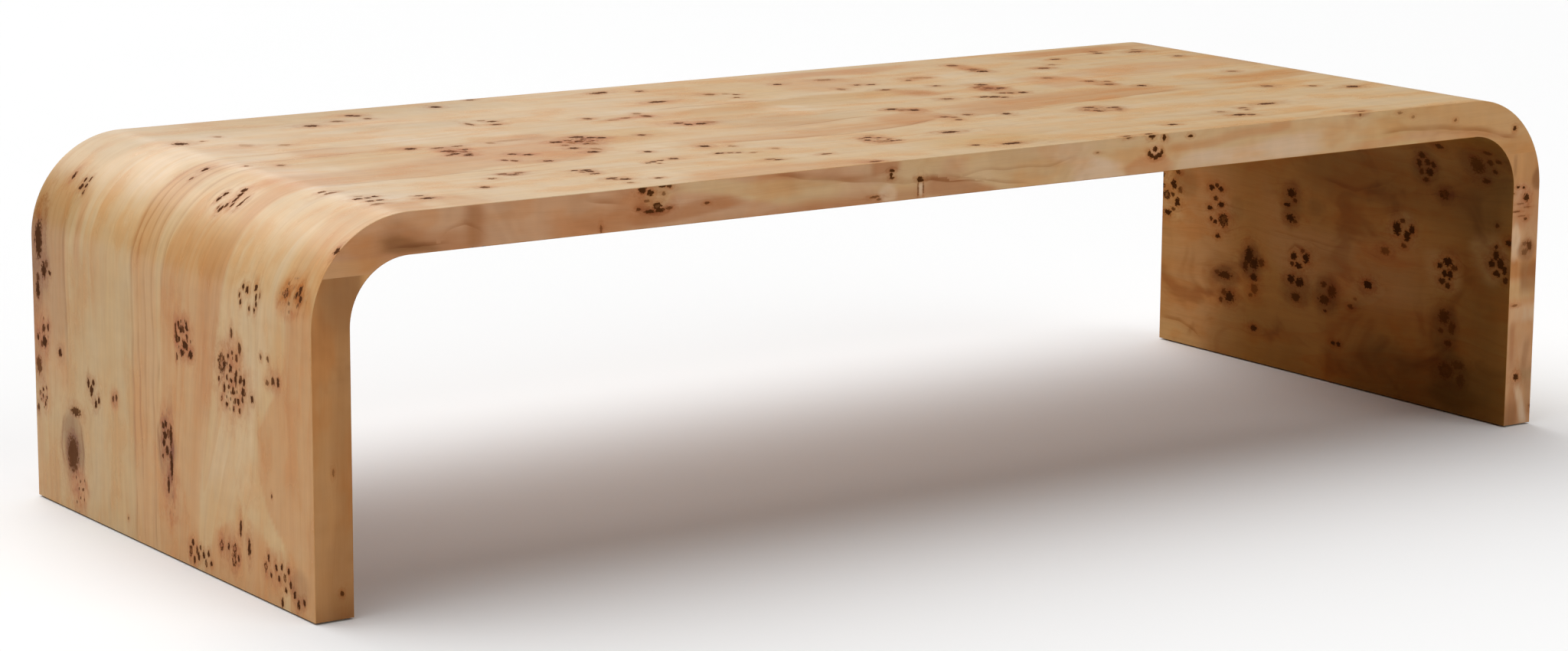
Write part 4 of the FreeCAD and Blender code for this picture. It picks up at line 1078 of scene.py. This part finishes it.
# Inner right leaf: the distance across the depth from the middle first, then the height
INNER_EYES = (
    (298, 211, 6, 6, 1), (312, 195, 7, 6, 1, 0.5), (290, 188, 5, 6, 1), (309, 172, 8, 4, 1),
    (322, 222, 5, 5, 1),
    (321, 207, 5, 4, 1), (300, 197, 4, 3, 0.8), (290, 228, 5, 3, 0.7), (285, 205, 4, 4, 0.6),
    (298, 178, 4, 3, 0.7),
    (222, 217, 5, 4, 0.9), (212, 221, 4, 3, 0.8), (204, 217, 5, 4, 0.9), (214, 204, 5, 3, 0.8),
    (203, 197, 6, 4, 1),
    (225, 190, 5, 3, 0.9), (198, 178, 9, 9, 1, 0.35), (214, 173, 4, 3, 0.9), (222, 176, 3, 3, 0.8),
    (208, 155, 5, 3, 0.9), (146, 139, 8, 11, 0.9), (136, 130, 8, 8, 0.9), (152, 126, 5, 9, 0.7),
    (122, 133, 6, 5, 0.6), (136, 112, 7, 5, 0.9), (134, 97, 7, 7, 0.5), (141, 88, 4, 3, 0.5),
    (192, 106, 13, 5, 0.8),
    (207, 108, 6, 3, 0.5), (182, 79, 9, 7, 0.9), (193, 84, 5, 4, 0.6), (199, 73, 4, 3, 0.6),
    (133, 46, 7, 4, 0.9),
    (69, 231, 8, 6, 0.9), (62, 222, 4, 3, 0.7), (76, 215, 6, 3, 0.9), (70, 199, 8, 5, 0.9),
    (61, 195, 4, 3, 0.6),
    (61, 151, 6, 5, 0.9), (38, 152, 6, 7, 0.9), (52, 140, 7, 4, 0.9), (64, 141, 4, 3, 0.8),
    (45, 160, 4, 3, 0.6),
    (65, 121, 7, 6, 0.95), (49, 119, 8, 6, 0.95), (55, 99, 9, 6, 0.75), (2, 104, 10, 6, 0.7),
    (-12, 117, 8, 8, 0.6),
    (4, 124, 5, 4, 0.6), (0, 90, 3, 2, 0.8), (-76, 136, 8, 6, 1), (-105, 183, 8, 5, 0.5),
    (-17, 52, 4, 3, 0.9),
    (-27, 52, 4, 3, 0.9), (-46, 103, 5, 3, 0.6), (-54, 114, 3, 2, 0.4), (-125, 214, 7, 9, 1),
    (-143, 207, 6, 7, 0.9),
    (-151, 216, 5, 6, 0.9), (-134, 225, 5, 3, 0.7), (-138, 194, 5, 3, 0.6), (-215, 186, 8, 6, 1),
    (-201, 180, 5, 4, 0.9), (-210, 171, 4, 5, 0.9), (-219, 171, 5, 6, 0.9), (-206, 161, 6, 4, 0.8),
    (-216, 157, 5, 4, 0.8), (-226, 180, 5, 4, 0.7), (-296, 206, 5, 6, 0.9), (-304, 197, 6, 7, 1),
    (-289, 195, 5, 5, 1),
    (-298, 184, 6, 4, 0.9), (-311, 190, 4, 5, 0.9), (-296, 216, 3, 3, 0.8), (-313, 178, 4, 4, 0.8),
    (-316, 224, 5, 4, 0.9), (-296, 242, 3, 3, 0.7), (-167, 311, 6, 5, 0.8), (-160, 300, 5, 5, 0.8),
    (-175, 303, 5, 5, 0.8), (-178, 291, 7, 5, 0.9), (-185, 301, 4, 4, 0.8), (-172, 281, 5, 3, 0.7),
    (-164, 290, 4, 4, 0.6), (-205, 267, 8, 6, 0.8, 0.6), (-203, 329, 7, 4, 0.8), (-262, 312, 12, 11, 0.6),
    (-287, 332, 7, 3, 0.7), (-286, 318, 5, 4, 0.7), (-291, 307, 4, 3, 0.8), (-275, 293, 6, 3, 0.7),
    (-301, 321, 6, 3, 0.7), (-212, 118, 9, 9, 0.6), (-226, 106, 6, 8, 0.5), (-221, 86, 6, 4, 0.6),
    (-207, 100, 4, 3, 0.5), (-218, 52, 12, 9, 0.5, 0.5), (-238, 62, 12, 5, 0.4), (-244, 44, 7, 8, 0.4),
)
# The umber bands darken the inner right leaf towards the front, the bottom and up under the top, and the tan
# and honey bands at the back lighten it, where light comes in under the table: painted shade and painted
# light over the wood's own tone.
INNER_BANDS = (
    ("tan", 0.75, 40, 40, 60, ((190, -20, 250), (330, -20, 250))),
    ("tan", 0.4, 40, 40, 50, ((-170, 110, 200), (70, 120, 190), (120, 150, 250))),
    ("umber", 0.3, 20, 50, 30, ((40, -20, 60), (120, -20, 90), (180, -20, 80), (230, -20, 40))),
    ("umber", 0.45, 40, 40, 50, ((-330, 225, 420), (-160, 232, 420), (0, 240, 420), (60, 256, 420))),
    ("umber", 0.6, 60, 60, 60, ((-340, -20, 420), (-235, -20, 420))),
    ("umber", 0.5, 40, 60, 30, ((-340, 270, 420), (-285, 280, 420))),
    ("umber", 0.55, 20, 30, 50, ((-330, -20, 70), (-160, -20, 62), (-100, -20, 72), (-30, -20, 40))),
    ("honey", 0.5, 14, 14, 30, ((235, -10, 14), (275, -10, 30), (330, -10, 30))),
)
INNER_PATCHES = (
    ("honey", 0.3, -207, 172, 34, 28), ("honey", 0.24, -136, 211, 27, 24), ("honey", 0.3, -287, 202, 32, 30),
    ("honey", 0.7, 302, 196, 26, 34), ("orange", 0.4, 208, 190, 26, 34), ("umber", 0.6, 142, 130, 22, 24),
    ("umber", 0.5, 188, 106, 30, 14), ("umber", 0.4, 186, 80, 20, 14), ("umber", 0.55, -216, 100, 26, 34),
    ("umber", 0.7, -228, 52, 34, 26), ("umber", 1, -238, 24, 50, 18), ("umber", 0.5, -2, 110, 24, 28),
    ("umber", 0.4, 56, 108, 30, 22), ("umber", 0.45, -171, 298, 28, 26), ("umber", 0.4, 68, 216, 20, 32),
    ("umber", 0.5, -262, 314, 30, 22), ("umber", 0.35, 274, 218, 26, 22), ("umber", 0.4, -205, 267, 18, 14),
    ("umber", 0.35, 22, 219, 14, 12), ("umber", 0.2, 172, 196, 14, 18),
)
INNER_FLOWS = ((-40, 250, 120, 40, -14), (180, 100, 80, 50, 10), (-200, 60, 90, 60, 14))
INNER_LINES = (
    (2.2, 0.5, ((-130, 284), (-112, 270), (-50, 250), (25, 258))),
    (1.4, 0.3, ((-112, 165), (-70, 177), (0, 174), (120, 178))),
    (1.8, 0.9, ((24, 146), (38, 160), (60, 164), (80, 148))),
    (1.6, 0.7, ((-240, 150), (-244, 176), (-230, 196), (-206, 200))),
    (1.6, 0.6, ((-160, 200), (-166, 214), (-156, 230), (-138, 236))),
    (1.6, 0.8, ((230, 10), (250, 22), (280, 32), (325, 32))),
    (1.6, 0.6, ((270, 140), (282, 166), (276, 186))),
    (1.6, 0.5, ((-60, 60), (-100, 76), (-150, 62), (-190, 40))),
)

# Front top strip: the distance along the length from the middle first, then the height
STRIP_EYES = (
    (-446, 396.5, 5, 3.6, 1), (-436, 393.5, 4, 3.4, 1), (-427.5, 379, 5.5, 4, 1, 0.3), (-440, 385, 3, 2, 0.5),
    (-420, 391, 2.5, 2, 0.5), (-421, 399, 4, 1.5, 0.9), (-413, 398, 3, 2, 0.8), (-450, 377.5, 3, 1.8, 0.7),
    (-437, 374, 6, 2, 0.9), (-425, 374.5, 6, 2.6, 0.9), (-413, 376, 4, 1.8, 0.6),
    (-367, 376.5, 3.5, 1.3, 0.7), (-133, 390, 3.5, 2, 0.9), (-134, 386, 2, 3.5, 0.9),
    (-133, 382, 3, 1.8, 0.8), (-96, 379, 4, 1.6, 0.9), (-95, 376.5, 4.5, 1.6, 1), (-98.5, 368, 0.9, 7, 0.6),
    (-91.5, 368, 0.9, 7, 0.6), (-155, 364, 6, 1.4, 0.6), (-150, 361, 3, 1.2, 0.5), (145, 386, 2.5, 1, 0.5),
    (189, 399, 5, 1.2, 0.7), (222, 398, 4.2, 3, 1), (240, 395, 2.8, 3, 1), (278, 394, 3.4, 1.7, 0.9),
    (227.5, 383, 3.4, 3, 1, 0, 0), (219, 379.5, 2.6, 3, 0.9), (222.5, 376, 3.5, 2.8, 1),
    (228, 374.5, 4, 2.6, 1),
    (233.5, 376, 3.5, 2.8, 1), (236.5, 379.5, 2.4, 3, 0.9), (-495, 362, 1.6, 4, 0.5),
    (683, 380, 2.5, 1.8, 0.5),
    (780, 362.6, 3, 3, 0.9), (532, 399.5, 2.5, 3, 0.6), (594, 395.5, 4, 1.5, 0.4), (615, 389.5, 2.5, 2, 0.35),
)
STRIP_BANDS = (
    ("rose", 0.9, 10, 10, 60, ((-860, 290, 410), (-480, 290, 410), (-150, 290, 410))),
    ("russet", 0.55, 8, 10, 30, ((-800, 340, 372), (-700, 352, 380), (-640, 354, 372))),
    ("brown", 0.4, 10, 20, 24, ((-752, 362, 380), (-728, 360, 392), (-700, 362, 378))),
    ("russet", 0.5, 10, 16, 30, ((-780, 356, 376), (-720, 358, 388), (-690, 358, 372))),
    ("brown", 0.75, 6, 8, 10, ((-746, 361, 376), (-728, 360, 378), (-706, 361, 370), (-680, 360, 364))),
    ("tan", 0.6, 10, 6, 20, ((-830, 338, 362), (-745, 342, 358))),
    ("orange", 0.4, 8, 8, 14, ((-812, 362, 380), (-750, 362, 384))),
    ("russet", 0.8, 10, 10, 8, ((-652, 358, 398), (-640, 358, 400), (-630, 360, 396))),
    ("brown", 0.3, 10, 10, 8, ((-650, 358, 396), (-636, 358, 396))),
    ("russet", 0.35, 6, 8, 8, ((-680, 356, 376), (-656, 356, 378))),
    ("russet", 0.35, 10, 14, 40, ((-560, 354, 378), (-470, 356, 372))),
    ("russet", 0.45, 8, 8, 20, ((-486, 376, 404), (-452, 380, 404))),
    ("russet", 0.8, 5, 8, 14, ((-462, 358, 372), (-430, 358, 373), (-400, 360, 378), (-380, 362, 382),
                               (-345, 368, 384), (-325, 372, 383))),
    ("cream", 0.75, 8, 8, 30, ((-410, 386, 402), (-340, 385, 400), (-280, 368, 392), (-190, 358, 382))),
    ("russet", 0.45, 6, 10, 30, ((-380, 352, 362), (-250, 354, 362), (-150, 355, 362))),
    ("russet", 0.35, 5, 10, 30, ((-300, 395, 404), (-240, 388, 396), (-170, 382, 390), (-135, 378, 386))),
    ("russet", 0.85, 6, 6, 6, ((-159, 388, 404), (-123, 390, 404))),
    ("russet", 0.9, 4, 6, 10, ((-88, 359, 378.5), (-60, 358, 379), (-30, 356, 372), (-12, 355, 366),
                               (8, 354, 360))),
    ("rose", 0.6, 8, 8, 10, ((-66, 378, 398), (-34, 380, 398))),
    ("blush", 0.7, 10, 10, 30, ((60, 390, 406), (100, 380, 404), (130, 376, 398))),
    ("blush", 0.95, 8, 8, 10, ((112, 354, 380), (140, 354, 382), (184, 355, 374))),
    ("pink", 0.9, 8, 4, 5, ((186, 355, 368), (205, 355, 377), (228, 355, 381), (246, 355, 376),
                            (256, 356, 370))),
    ("russet", 0.4, 8, 4, 5, ((186, 355, 366), (205, 355, 374), (228, 355, 379), (246, 355, 374))),
    ("orange", 0.75, 6, 8, 16, ((250, 374, 384), (290, 378, 389), (330, 384, 394), (380, 389, 398),
                                (425, 391, 400))),
    ("orange", 0.6, 4, 4, 5, ((396, 388, 402), (426, 390, 402))),
    ("blush", 0.85, 8, 10, 30, ((262, 355, 372), (340, 356, 376), (410, 358, 382), (470, 360, 390))),
    ("pink", 0.3, 10, 10, 60, ((-120, 290, 410), (560, 290, 410))),
    ("honey", 0.5, 10, 10, 50, ((560, 290, 405), (840, 290, 405))),
    ("tan", 0.7, 10, 10, 60, ((600, 374, 410), (700, 300, 410), (860, 300, 410))),
    ("russet", 0.5, 3, 6, 30, ((600, 366, 371.5), (640, 366, 372), (700, 362, 368), (740, 353, 360),
                               (775, 346, 354))),
    ("pink", 0.7, 3, 3, 30, ((520, 356, 367), (640, 358, 368), (700, 357, 363), (740, 348, 354))),
    ("russet", 0.6, 4, 3, 6, ((518, 395, 404), (548, 396, 404))),
    ("russet", 0.6, 6, 12, 20, ((-250, 352, 372), (-80, 352, 370))),
)
STRIP_PATCHES = (
    ("russet", 0.7, -432, 380, 27, 14), ("cream", 0.6, -428, 388, 17, 12),
    ("blush", 0.6, -138, 366, 12, 10), ("blush", 0.7, -95, 367, 5, 8),
    ("blush", 0.9, 227.5, 383, 8, 7), ("cream", 0.7, 224, 391, 9, 7),
)
STRIP_FLOWS = (
    (-430, 385, 26, 14, -8), (-230, 385, 120, 20, 5), (228, 380, 24, 12, -6), (-700, 375, 40, 20, 6),
)
STRIP_LINES = (
    (3.2, 1, ((-462, 384), (-452, 378), (-438, 373.5), (-424, 372.5), (-412, 375), (-404, 381))),
    (1.6, 0.7, ((-446, 392), (-438, 384), (-428, 381), (-418, 384), (-412, 392))),
    (2.2, 0.9, ((-290, 398), (-249, 391), (-190, 383), (-153, 379), (-118, 376), (-80, 377), (0, 366))),
    (2.0, 0.8, ((-520, 396), (-490, 390), (-462, 382))),
    (1.4, 0.6, ((-418, 400), (-414, 392), (-416, 382))),
    (1.2, 0.5, ((-70, 379), (-30, 374), (20, 364), (60, 358))),
    (1.2, 0.4, ((-60, 374), (0, 380), (80, 378), (120, 384))),
    (2.0, 0.8, ((560, 373), (603, 372), (658, 370.5), (691, 368), (717, 364), (743, 359), (762, 354),
                (790, 350))),
    (1.6, 0.6, ((-684, 366), (-672, 376), (-652, 379), (-636, 374), (-622, 362))),
    (1.6, 0.7, ((-748, 362), (-700, 366), (-660, 361))),
)

# Front strips down the legs: the height first, then the distance along the length from the middle
LEFT_UPRIGHT_EYES = ((28, -795, 3, 2, 0.8), (150, -803, 4, 1.5, 0.4))
RIGHT_UPRIGHT_EYES = (
    (291, 790, 1.6, 3, 1), (290, 799, 1.6, 2.3, 1), (278, 804, 5, 4.5, 1), (284, 780, 1.2, 4, 0.6),
    (262, 788, 1, 6, 0.6), (252, 804, 2, 3, 0.7), (148, 792, 1.5, 5, 0.5), (60, 799, 4.2, 4.6, 1),
    (21, 826, 4, 2.5, 0.8), (271, 795, 1, 7, 0.4), (266, 806, 1, 6, 0.4), (256, 797, 1, 7, 0.35),
    (219, 812, 6, 4, 0.7, 0, 0), (212, 805, 4, 5, 0.45, 0, 0), (222, 804, 3, 4, 0.4, 0, 0),
)
RIGHT_UPRIGHT_PATCHES = (
    ("brown", 0.85, 300, 822, 14, 9), ("rose", 0.6, 280, 797, 14, 12), ("blush", 0.85, 225, 789, 22, 8),
    ("brown", 0.6, 214, 808, 14, 14), ("russet", 0.5, 262, 800, 22, 12),
)
LEFT_UPRIGHT_BANDS = (
    ("brown", 0.3, 10, 10, 30, ((-30, -840, -770), (380, -840, -770))),
    ("brown", 0.3, 12, 10, 30, ((-30, -806, -770), (70, -808, -770), (110, -800, -770), (360, -800, -770))),
    ("brown", 0.5, 16, 10, 25, ((-30, -840, -770), (0, -840, -770))),
    ("brown", 0.6, 14, 10, 25, ((290, -812, -770), (380, -820, -770))),
    ("brown", 0.3, 16, 10, 20, ((-30, -840, -770), (20, -840, -770))),
    ("bark", 0.12, 12, 10, 20, ((-30, -812, -770), (18, -808, -770))),
)
RIGHT_UPRIGHT_BANDS = (
    ("tan", 0.9, 8, 8, 8, ((292, 770, 840), (380, 770, 840))),
    ("brown", 0.45, 4, 4, 8, ((304, 780, 787), (330, 781, 788))),
    ("orange", 1, 6, 6, 5, ((181, 770, 840), (203, 770, 840))),
    ("cream", 0.8, 6, 6, 6, ((155, 770, 840), (177, 770, 840))),
    ("blush", 0.6, 6, 6, 6, ((128, 785, 840), (148, 785, 840))),
    ("russet", 0.7, 3, 4, 8, ((76, 787, 794), (124, 788, 796))),
    ("brown", 0.5, 5, 5, 8, ((68, 809, 818), (106, 810, 818))),
    ("russet", 0.45, 10, 10, 20, ((-20, 770, 840), (30, 770, 840))),
    ("russet", 0.25, 10, 10, 20, ((50, 770, 840), (120, 770, 840))),
    ("russet", 0.35, 10, 10, 10, ((240, 770, 840), (300, 770, 840))),
    ("brown", 0.2, 10, 10, 20, ((160, 800, 840), (380, 800, 840))),
    ("russet", 0.7, 5, 6, 8, ((2, 786, 803), (30, 786, 800), (52, 788, 797))),
    ("blush", 0.7, 5, 5, 8, ((2, 806, 818), (25, 801, 812), (50, 796, 806))),
    ("olive", 0.4, 5, 5, 6, ((54, 808, 840), (68, 806, 840))),
    ("brown", 0.35, 6, 6, 8, ((10, 818, 840), (50, 812, 840))),
    ("brown", 0.55, 8, 8, 8, ((165, 798, 840), (200, 798, 840))),
    ("brown", 0.45, 6, 8, 12, ((-20, 780, 800), (28, 780, 800))),
    ("brown", 0.3, 5, 5, 8, ((46, 800, 840), (74, 800, 840))),
)


def hidden_figure(seed, base, length, depth, clusters, singles):
    """A figure for a face that the photo doesn't show, in the manner of those that it does."""
    draw = random.Random(seed)

    def spot():
        return draw.uniform(-length, length), draw.uniform(-depth, depth)

    groups = [
        (*spot(), draw.uniform(10, 22), draw.uniform(8, 20), draw.randint(4, 11))
        for _ in range(clusters)]
    eyes = [
        (*spot(), draw.uniform(3, 9), draw.uniform(2.5, 6), draw.uniform(0.7, 1))
        for _ in range(singles)]
    bands = []
    for _ in range(4):
        low = draw.uniform(-depth, depth)
        wide = draw.uniform(20, 70)
        drift = draw.uniform(-25, 25)
        bands.append((draw.choice(("tan", "honey", "pink")), draw.uniform(0.35, 0.6), 6, 20, 30,
                      ((-length - 50, low, low + wide), (length + 50, low + drift, low + wide + drift))))
    flows = [(*spot(), 120, 60, draw.uniform(-20, 20)) for _ in range(4)]
    return Figure(base, bands, (), flows, eyes, groups, seed=seed)


# Pieces

class TABLE_OT_outer_leaves(bpy.types.Operator):
    """Lay the two outer leaves over legs, bends and top"""

    bl_idname = "table.outer_leaves"
    bl_label = "Outer Leaves"

    def execute(self, context):
        size = sizes()
        material = veneer_material("Outer burl", burl_eye())
        whole = ("leg", "bend", "top", "far bend", "far leg")
        figure = Figure("cream", OUTER_BANDS, OUTER_PATCHES, OUTER_FLOWS, OUTER_EYES, OUTER_CLUSTERS,
                        OUTER_LINES, seed=4)
        for node, y_range, y_face in (
                ("outer_front_leaf", (-HALF_DEPTH, LEAF_SEAM_Y), -HALF_DEPTH),
                ("outer_back_leaf", (LEAF_SEAM_Y, HALF_DEPTH), HALF_DEPTH)):
            eased = ((y_face, 0, size.arris), (LEAF_SEAM_Y, 0, size.seam_ease))
            piece = slab_run(node, LEFT, (0, VENEER), y_range, whole, eased)
            finish_piece(piece, node, material)
            draw_figure(piece, figure, profile_places)
        return {"FINISHED"}


class TABLE_OT_inner_leaves(bpy.types.Operator):
    """Lay the inner leaves up the legs and under the top, with their grain across the depth"""

    bl_idname = "table.inner_leaves"
    bl_label = "Inner Leaves"

    def execute(self, context):
        size = sizes()
        material = veneer_material(
            "Inner burl", burl_eye(), gloss=0.5, specular=0.04, mottle=0.7, core_tone=0.8)
        insets = (SLAB - VENEER, SLAB)
        # The amber ground is partly painted shade of the space under the table.
        shown = Figure("amber", INNER_BANDS, INNER_PATCHES, INNER_FLOWS, INNER_EYES, lines=INNER_LINES)
        hidden = hidden_figure(21, "amber", HALF_DEPTH / MM, (BEND_Z + SLAB) / MM, 16, 12)
        eased = [(y, SLAB, size.arris) for y in (-HALF_DEPTH, HALF_DEPTH)]
        for side, figure in ((LEFT, hidden), (RIGHT, shown)):
            node = f"inner_{SIDE_NAMES[side]}_leaf"
            piece = slab_run(node, side, insets, (-HALF_DEPTH, HALF_DEPTH), ("leg", "bend"), eased)
            finish_piece(piece, node, material)
            draw_figure(piece, figure, inner_places)
        for count in range(1, UNDERSIDE_LEAVES + 1):
            node = f"underside_leaf_{count}"
            piece = underside_leaf(node)
            finish_piece(piece, node, material)
            figure = hidden_figure(30 + count, "amber", HALF_DEPTH / MM, HALF_LENGTH / MM, 40, 40)
            draw_figure(piece, figure, underside_places)
        return {"FINISHED"}


def underside_leaf(node):
    """One flat leaf under the top, cut into cells, with its two long lower arrises eased."""
    low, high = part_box(node)
    piece = start_piece(f"{node}_finished", bpy.ops.mesh.primitive_cube_add, (low + high) / 2, high - low)
    pick(piece, "edges", lambda edge: runs_along(edge, 0, 0) and edge.verts[0].co.z < (low.z + high.z) / 2)
    bpy.ops.mesh.bevel(offset=sizes().arris, segments=3)
    for axis in (0, 1):
        length = high[axis] - low[axis]
        cut_along(piece, axis, length * 0.99, sizes().cell)
    return piece


class TABLE_OT_edge_strips(bpy.types.Operator):
    """Cover the front and back edges with strips, jointed level across each bend"""

    bl_idname = "table.edge_strips"
    bl_label = "Edge Strips"

    def execute(self, context):
        cell = sizes().cell / 2
        material = veneer_material(
            "Edge veneer", burl_eye(), streaks=0.6, gloss=0.42, specular=0.1, mottle=0.25)
        insets = (VENEER, SLAB - VENEER)
        top = Figure("cream", STRIP_BANDS, STRIP_PATCHES, STRIP_FLOWS, STRIP_EYES, (), STRIP_LINES, seed=5)
        left = Figure("tan", LEFT_UPRIGHT_BANDS, (), (), LEFT_UPRIGHT_EYES)
        right = Figure("pink", RIGHT_UPRIGHT_BANDS, RIGHT_UPRIGHT_PATCHES, (), RIGHT_UPRIGHT_EYES)
        for face, y_range, figures, level, upright in (
                ("front", (-HALF_DEPTH, VENEER - HALF_DEPTH), {LEFT: left, RIGHT: right},
                 strip_places, upright_places),
                ("back", (HALF_DEPTH - VENEER, HALF_DEPTH), {LEFT: right, RIGHT: left},
                 turned_round(strip_places), turned_round(upright_places))):
            node = f"{face}_top_edge_strip"
            piece = slab_run(node, LEFT, insets, y_range, ("bend", "top", "far bend"), cell=cell)
            for side in (LEFT, RIGHT):
                trim_level(piece, side, EDGE_SEAM_Z[side], keep_upper=True)
            finish_piece(piece, node, material)
            draw_figure(piece, top, level)
            for side in (LEFT, RIGHT):
                node = f"{face}_{SIDE_NAMES[side]}_edge_strip"
                piece = slab_run(node, side, insets, y_range, ("leg", "bend"), cell=cell)
                trim_level(piece, side, EDGE_SEAM_Z[side], keep_upper=False)
                finish_piece(piece, node, material)
                draw_figure(piece, figures[side], upright)
        return {"FINISHED"}


class TABLE_OT_felt_strips(bpy.types.Operator):
    """Lay a felt strip under each foot"""

    bl_idname = "table.felt_strips"
    bl_label = "Felt Strips"

    def execute(self, context):
        material = felt_material()
        for side in (LEFT, RIGHT):
            node = f"{SIDE_NAMES[side]}_felt_strip"
            low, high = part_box(node)
            piece = start_piece(
                f"{node}_finished", bpy.ops.mesh.primitive_cube_add, (low + high) / 2, high - low)
            cut_along(piece, 1, high.y - low.y, sizes().cell * 2)
            near = FOOT_Z / 10
            pick(piece, "edges", lambda edge: all(v.co.z < low.z + near for v in edge.verts)
                 and edge.is_manifold and edge.calc_face_angle() > 1)
            bpy.ops.mesh.bevel(offset=sizes().felt_round, segments=2)
            finish_piece(piece, node, material)
        return {"FINISHED"}


# Raw woods: slot, name, pale and dark tones, how fine along and across the grain, and roughness
RAW_WOODS = (
    ("board", "Fibreboard", (0.36, 0.22, 0.11), (0.30, 0.175, 0.085), 60, 60, 0.8),
    ("frame_timber", "Planed poplar", (0.66, 0.50, 0.28), (0.52, 0.37, 0.18), 6, 60, 0.6),
    ("bent_plywood", "Bent plywood", (0.58, 0.42, 0.23), (0.44, 0.28, 0.13), 8, 160, 0.65),
    ("dowel_beech", "Beech", (0.62, 0.40, 0.21), (0.50, 0.30, 0.14), 30, 300, 0.55),
)


class TABLE_OT_core(bpy.types.Operator):
    """Give the boards, rails, ribs and dowels inside their raw finishes"""

    bl_idname = "table.core"
    bl_label = "Core"

    def execute(self, context):
        materials = {slot: raw_wood_material(*finish) for slot, *finish in RAW_WOODS}
        for part in frame["record"]["subparts"]:
            material = materials.get(part["material_slot"])
            if material:
                node = frame["nodes"][part["node"]]
                for slot in node.material_slots:
                    slot.material = material
        return {"FINISHED"}


class TABLE_OT_stage(bpy.types.Operator):
    """Set the camera, the soft lights and the pale floor"""

    bl_idname = "table.stage"
    bl_label = "Stage"

    def execute(self, context):
        scene = context.scene
        setting = scene.stage_settings
        add_camera(scene)
        add_light("Key light", *KEY_LIGHT, setting.key)
        for count, (towards, spread, share) in enumerate(BACK_LIGHTS, 1):
            add_light(f"Back light {count}", towards, spread, setting.back * share)
        add_light("Fill light", *FILL_LIGHT, setting.fill)
        add_floor()
        scene.world = bpy.data.worlds.new("Even light")
        scene.world.use_nodes = True
        background = scene.world.node_tree.nodes["Background"]
        background.inputs["Color"].default_value = (1, 1, 1, 1)
        background.inputs["Strength"].default_value = setting.sky
        scene.view_settings.view_transform = "Standard"
        return {"FINISHED"}


def add_camera(scene):
    """The camera that the photo's edges give."""
    camera = bpy.data.cameras.new("Camera")
    camera.lens = 92.5
    camera.sensor_width = 36
    camera.clip_end = 100
    holder = bpy.data.objects.new("Camera", camera)
    yaw, pitch, roll = math.radians(34.84), math.radians(-11.25), math.radians(0.38)
    turned = Euler((QUARTER_TURN + pitch, 0, -yaw)).to_matrix() @ Matrix.Rotation(roll, 3, "Z")
    place = (-2.6215, -3.6979, 1.0573)
    holder.matrix_world = Matrix.Translation(place) @ turned.to_4x4()
    scene.collection.objects.link(holder)
    scene.camera = holder


# Directions towards the lights, and their spreads in degrees
KEY_LIGHT = ((-0.21, 0.33, 0.91), 80)
FILL_LIGHT = ((0.25, -0.85, 0.46), 60)
# Nested discs of light that share their left edge, so that the sheen fades towards the right: direction,
# spread and share of the strength
BACK_LIGHTS = (
    ((0.03, 0.93, 0.37), 27, 0.16),
    ((0.13, 0.93, 0.35), 39, 0.45),
    ((0.225, 0.90, 0.37), 50, 0.39),
)


def add_light(name, towards, spread, strength):
    """A distant soft light: the direction towards it, its spread in degrees and its strength."""
    light = bpy.data.lights.new(name, "SUN")
    light.angle = math.radians(spread)
    light.energy = strength
    holder = bpy.data.objects.new(name, light)
    holder.rotation_euler = Vector(towards).to_track_quat("Z", "Y").to_euler()
    bpy.context.scene.collection.objects.link(holder)


def add_floor():
    """A wide plain floor, level with the feet."""
    bpy.ops.object.select_all(action="DESELECT")
    bpy.ops.mesh.primitive_plane_add(size=FLOOR_SIZE, location=(0, 0, CAD_LOW.z))
    floor = bpy.context.object
    floor.name = floor.data.name = "Floor"
    floor.data.materials.append(floor_material())


class VIEW3D_PT_table(bpy.types.Panel):
    bl_label = "Curved Coffee Table"
    bl_idname = "VIEW3D_PT_table"
    bl_space_type = "VIEW_3D"
    bl_region_type = "UI"
    bl_category = "Table"

    def draw(self, context):
        for group in (context.scene.table_sizes, context.scene.table_colours, context.scene.stage_settings):
            for name in group.__annotations__:
                self.layout.prop(group, name)
        for operator in OPERATORS:
            self.layout.operator(operator.bl_idname)


GROUPS = {"table_sizes": TableSizes, "table_colours": TableColours, "stage_settings": StageSettings}
OPERATORS = (
    TABLE_OT_stage, TABLE_OT_core, TABLE_OT_outer_leaves, TABLE_OT_inner_leaves, TABLE_OT_edge_strips,
    TABLE_OT_felt_strips)


def register():
    for group in GROUPS.values():
        bpy.utils.register_class(group)
    for name, group in GROUPS.items():
        setattr(bpy.types.Scene, name, PointerProperty(type=group))
    for shown in (*OPERATORS, VIEW3D_PT_table):
        bpy.utils.register_class(shown)


def unregister():
    for shown in (VIEW3D_PT_table, *reversed(OPERATORS)):
        bpy.utils.unregister_class(shown)
    for name, group in GROUPS.items():
        delattr(bpy.types.Scene, name)
        bpy.utils.unregister_class(group)


def main():
    """Makes every piece in order."""
    register()
    bpy.ops.table.stage()
    bpy.ops.table.core()
    bpy.ops.table.outer_leaves()
    bpy.ops.table.inner_leaves()
    bpy.ops.table.edge_strips()
    bpy.ops.table.felt_strips()


if __name__ == "__main__":
    main()
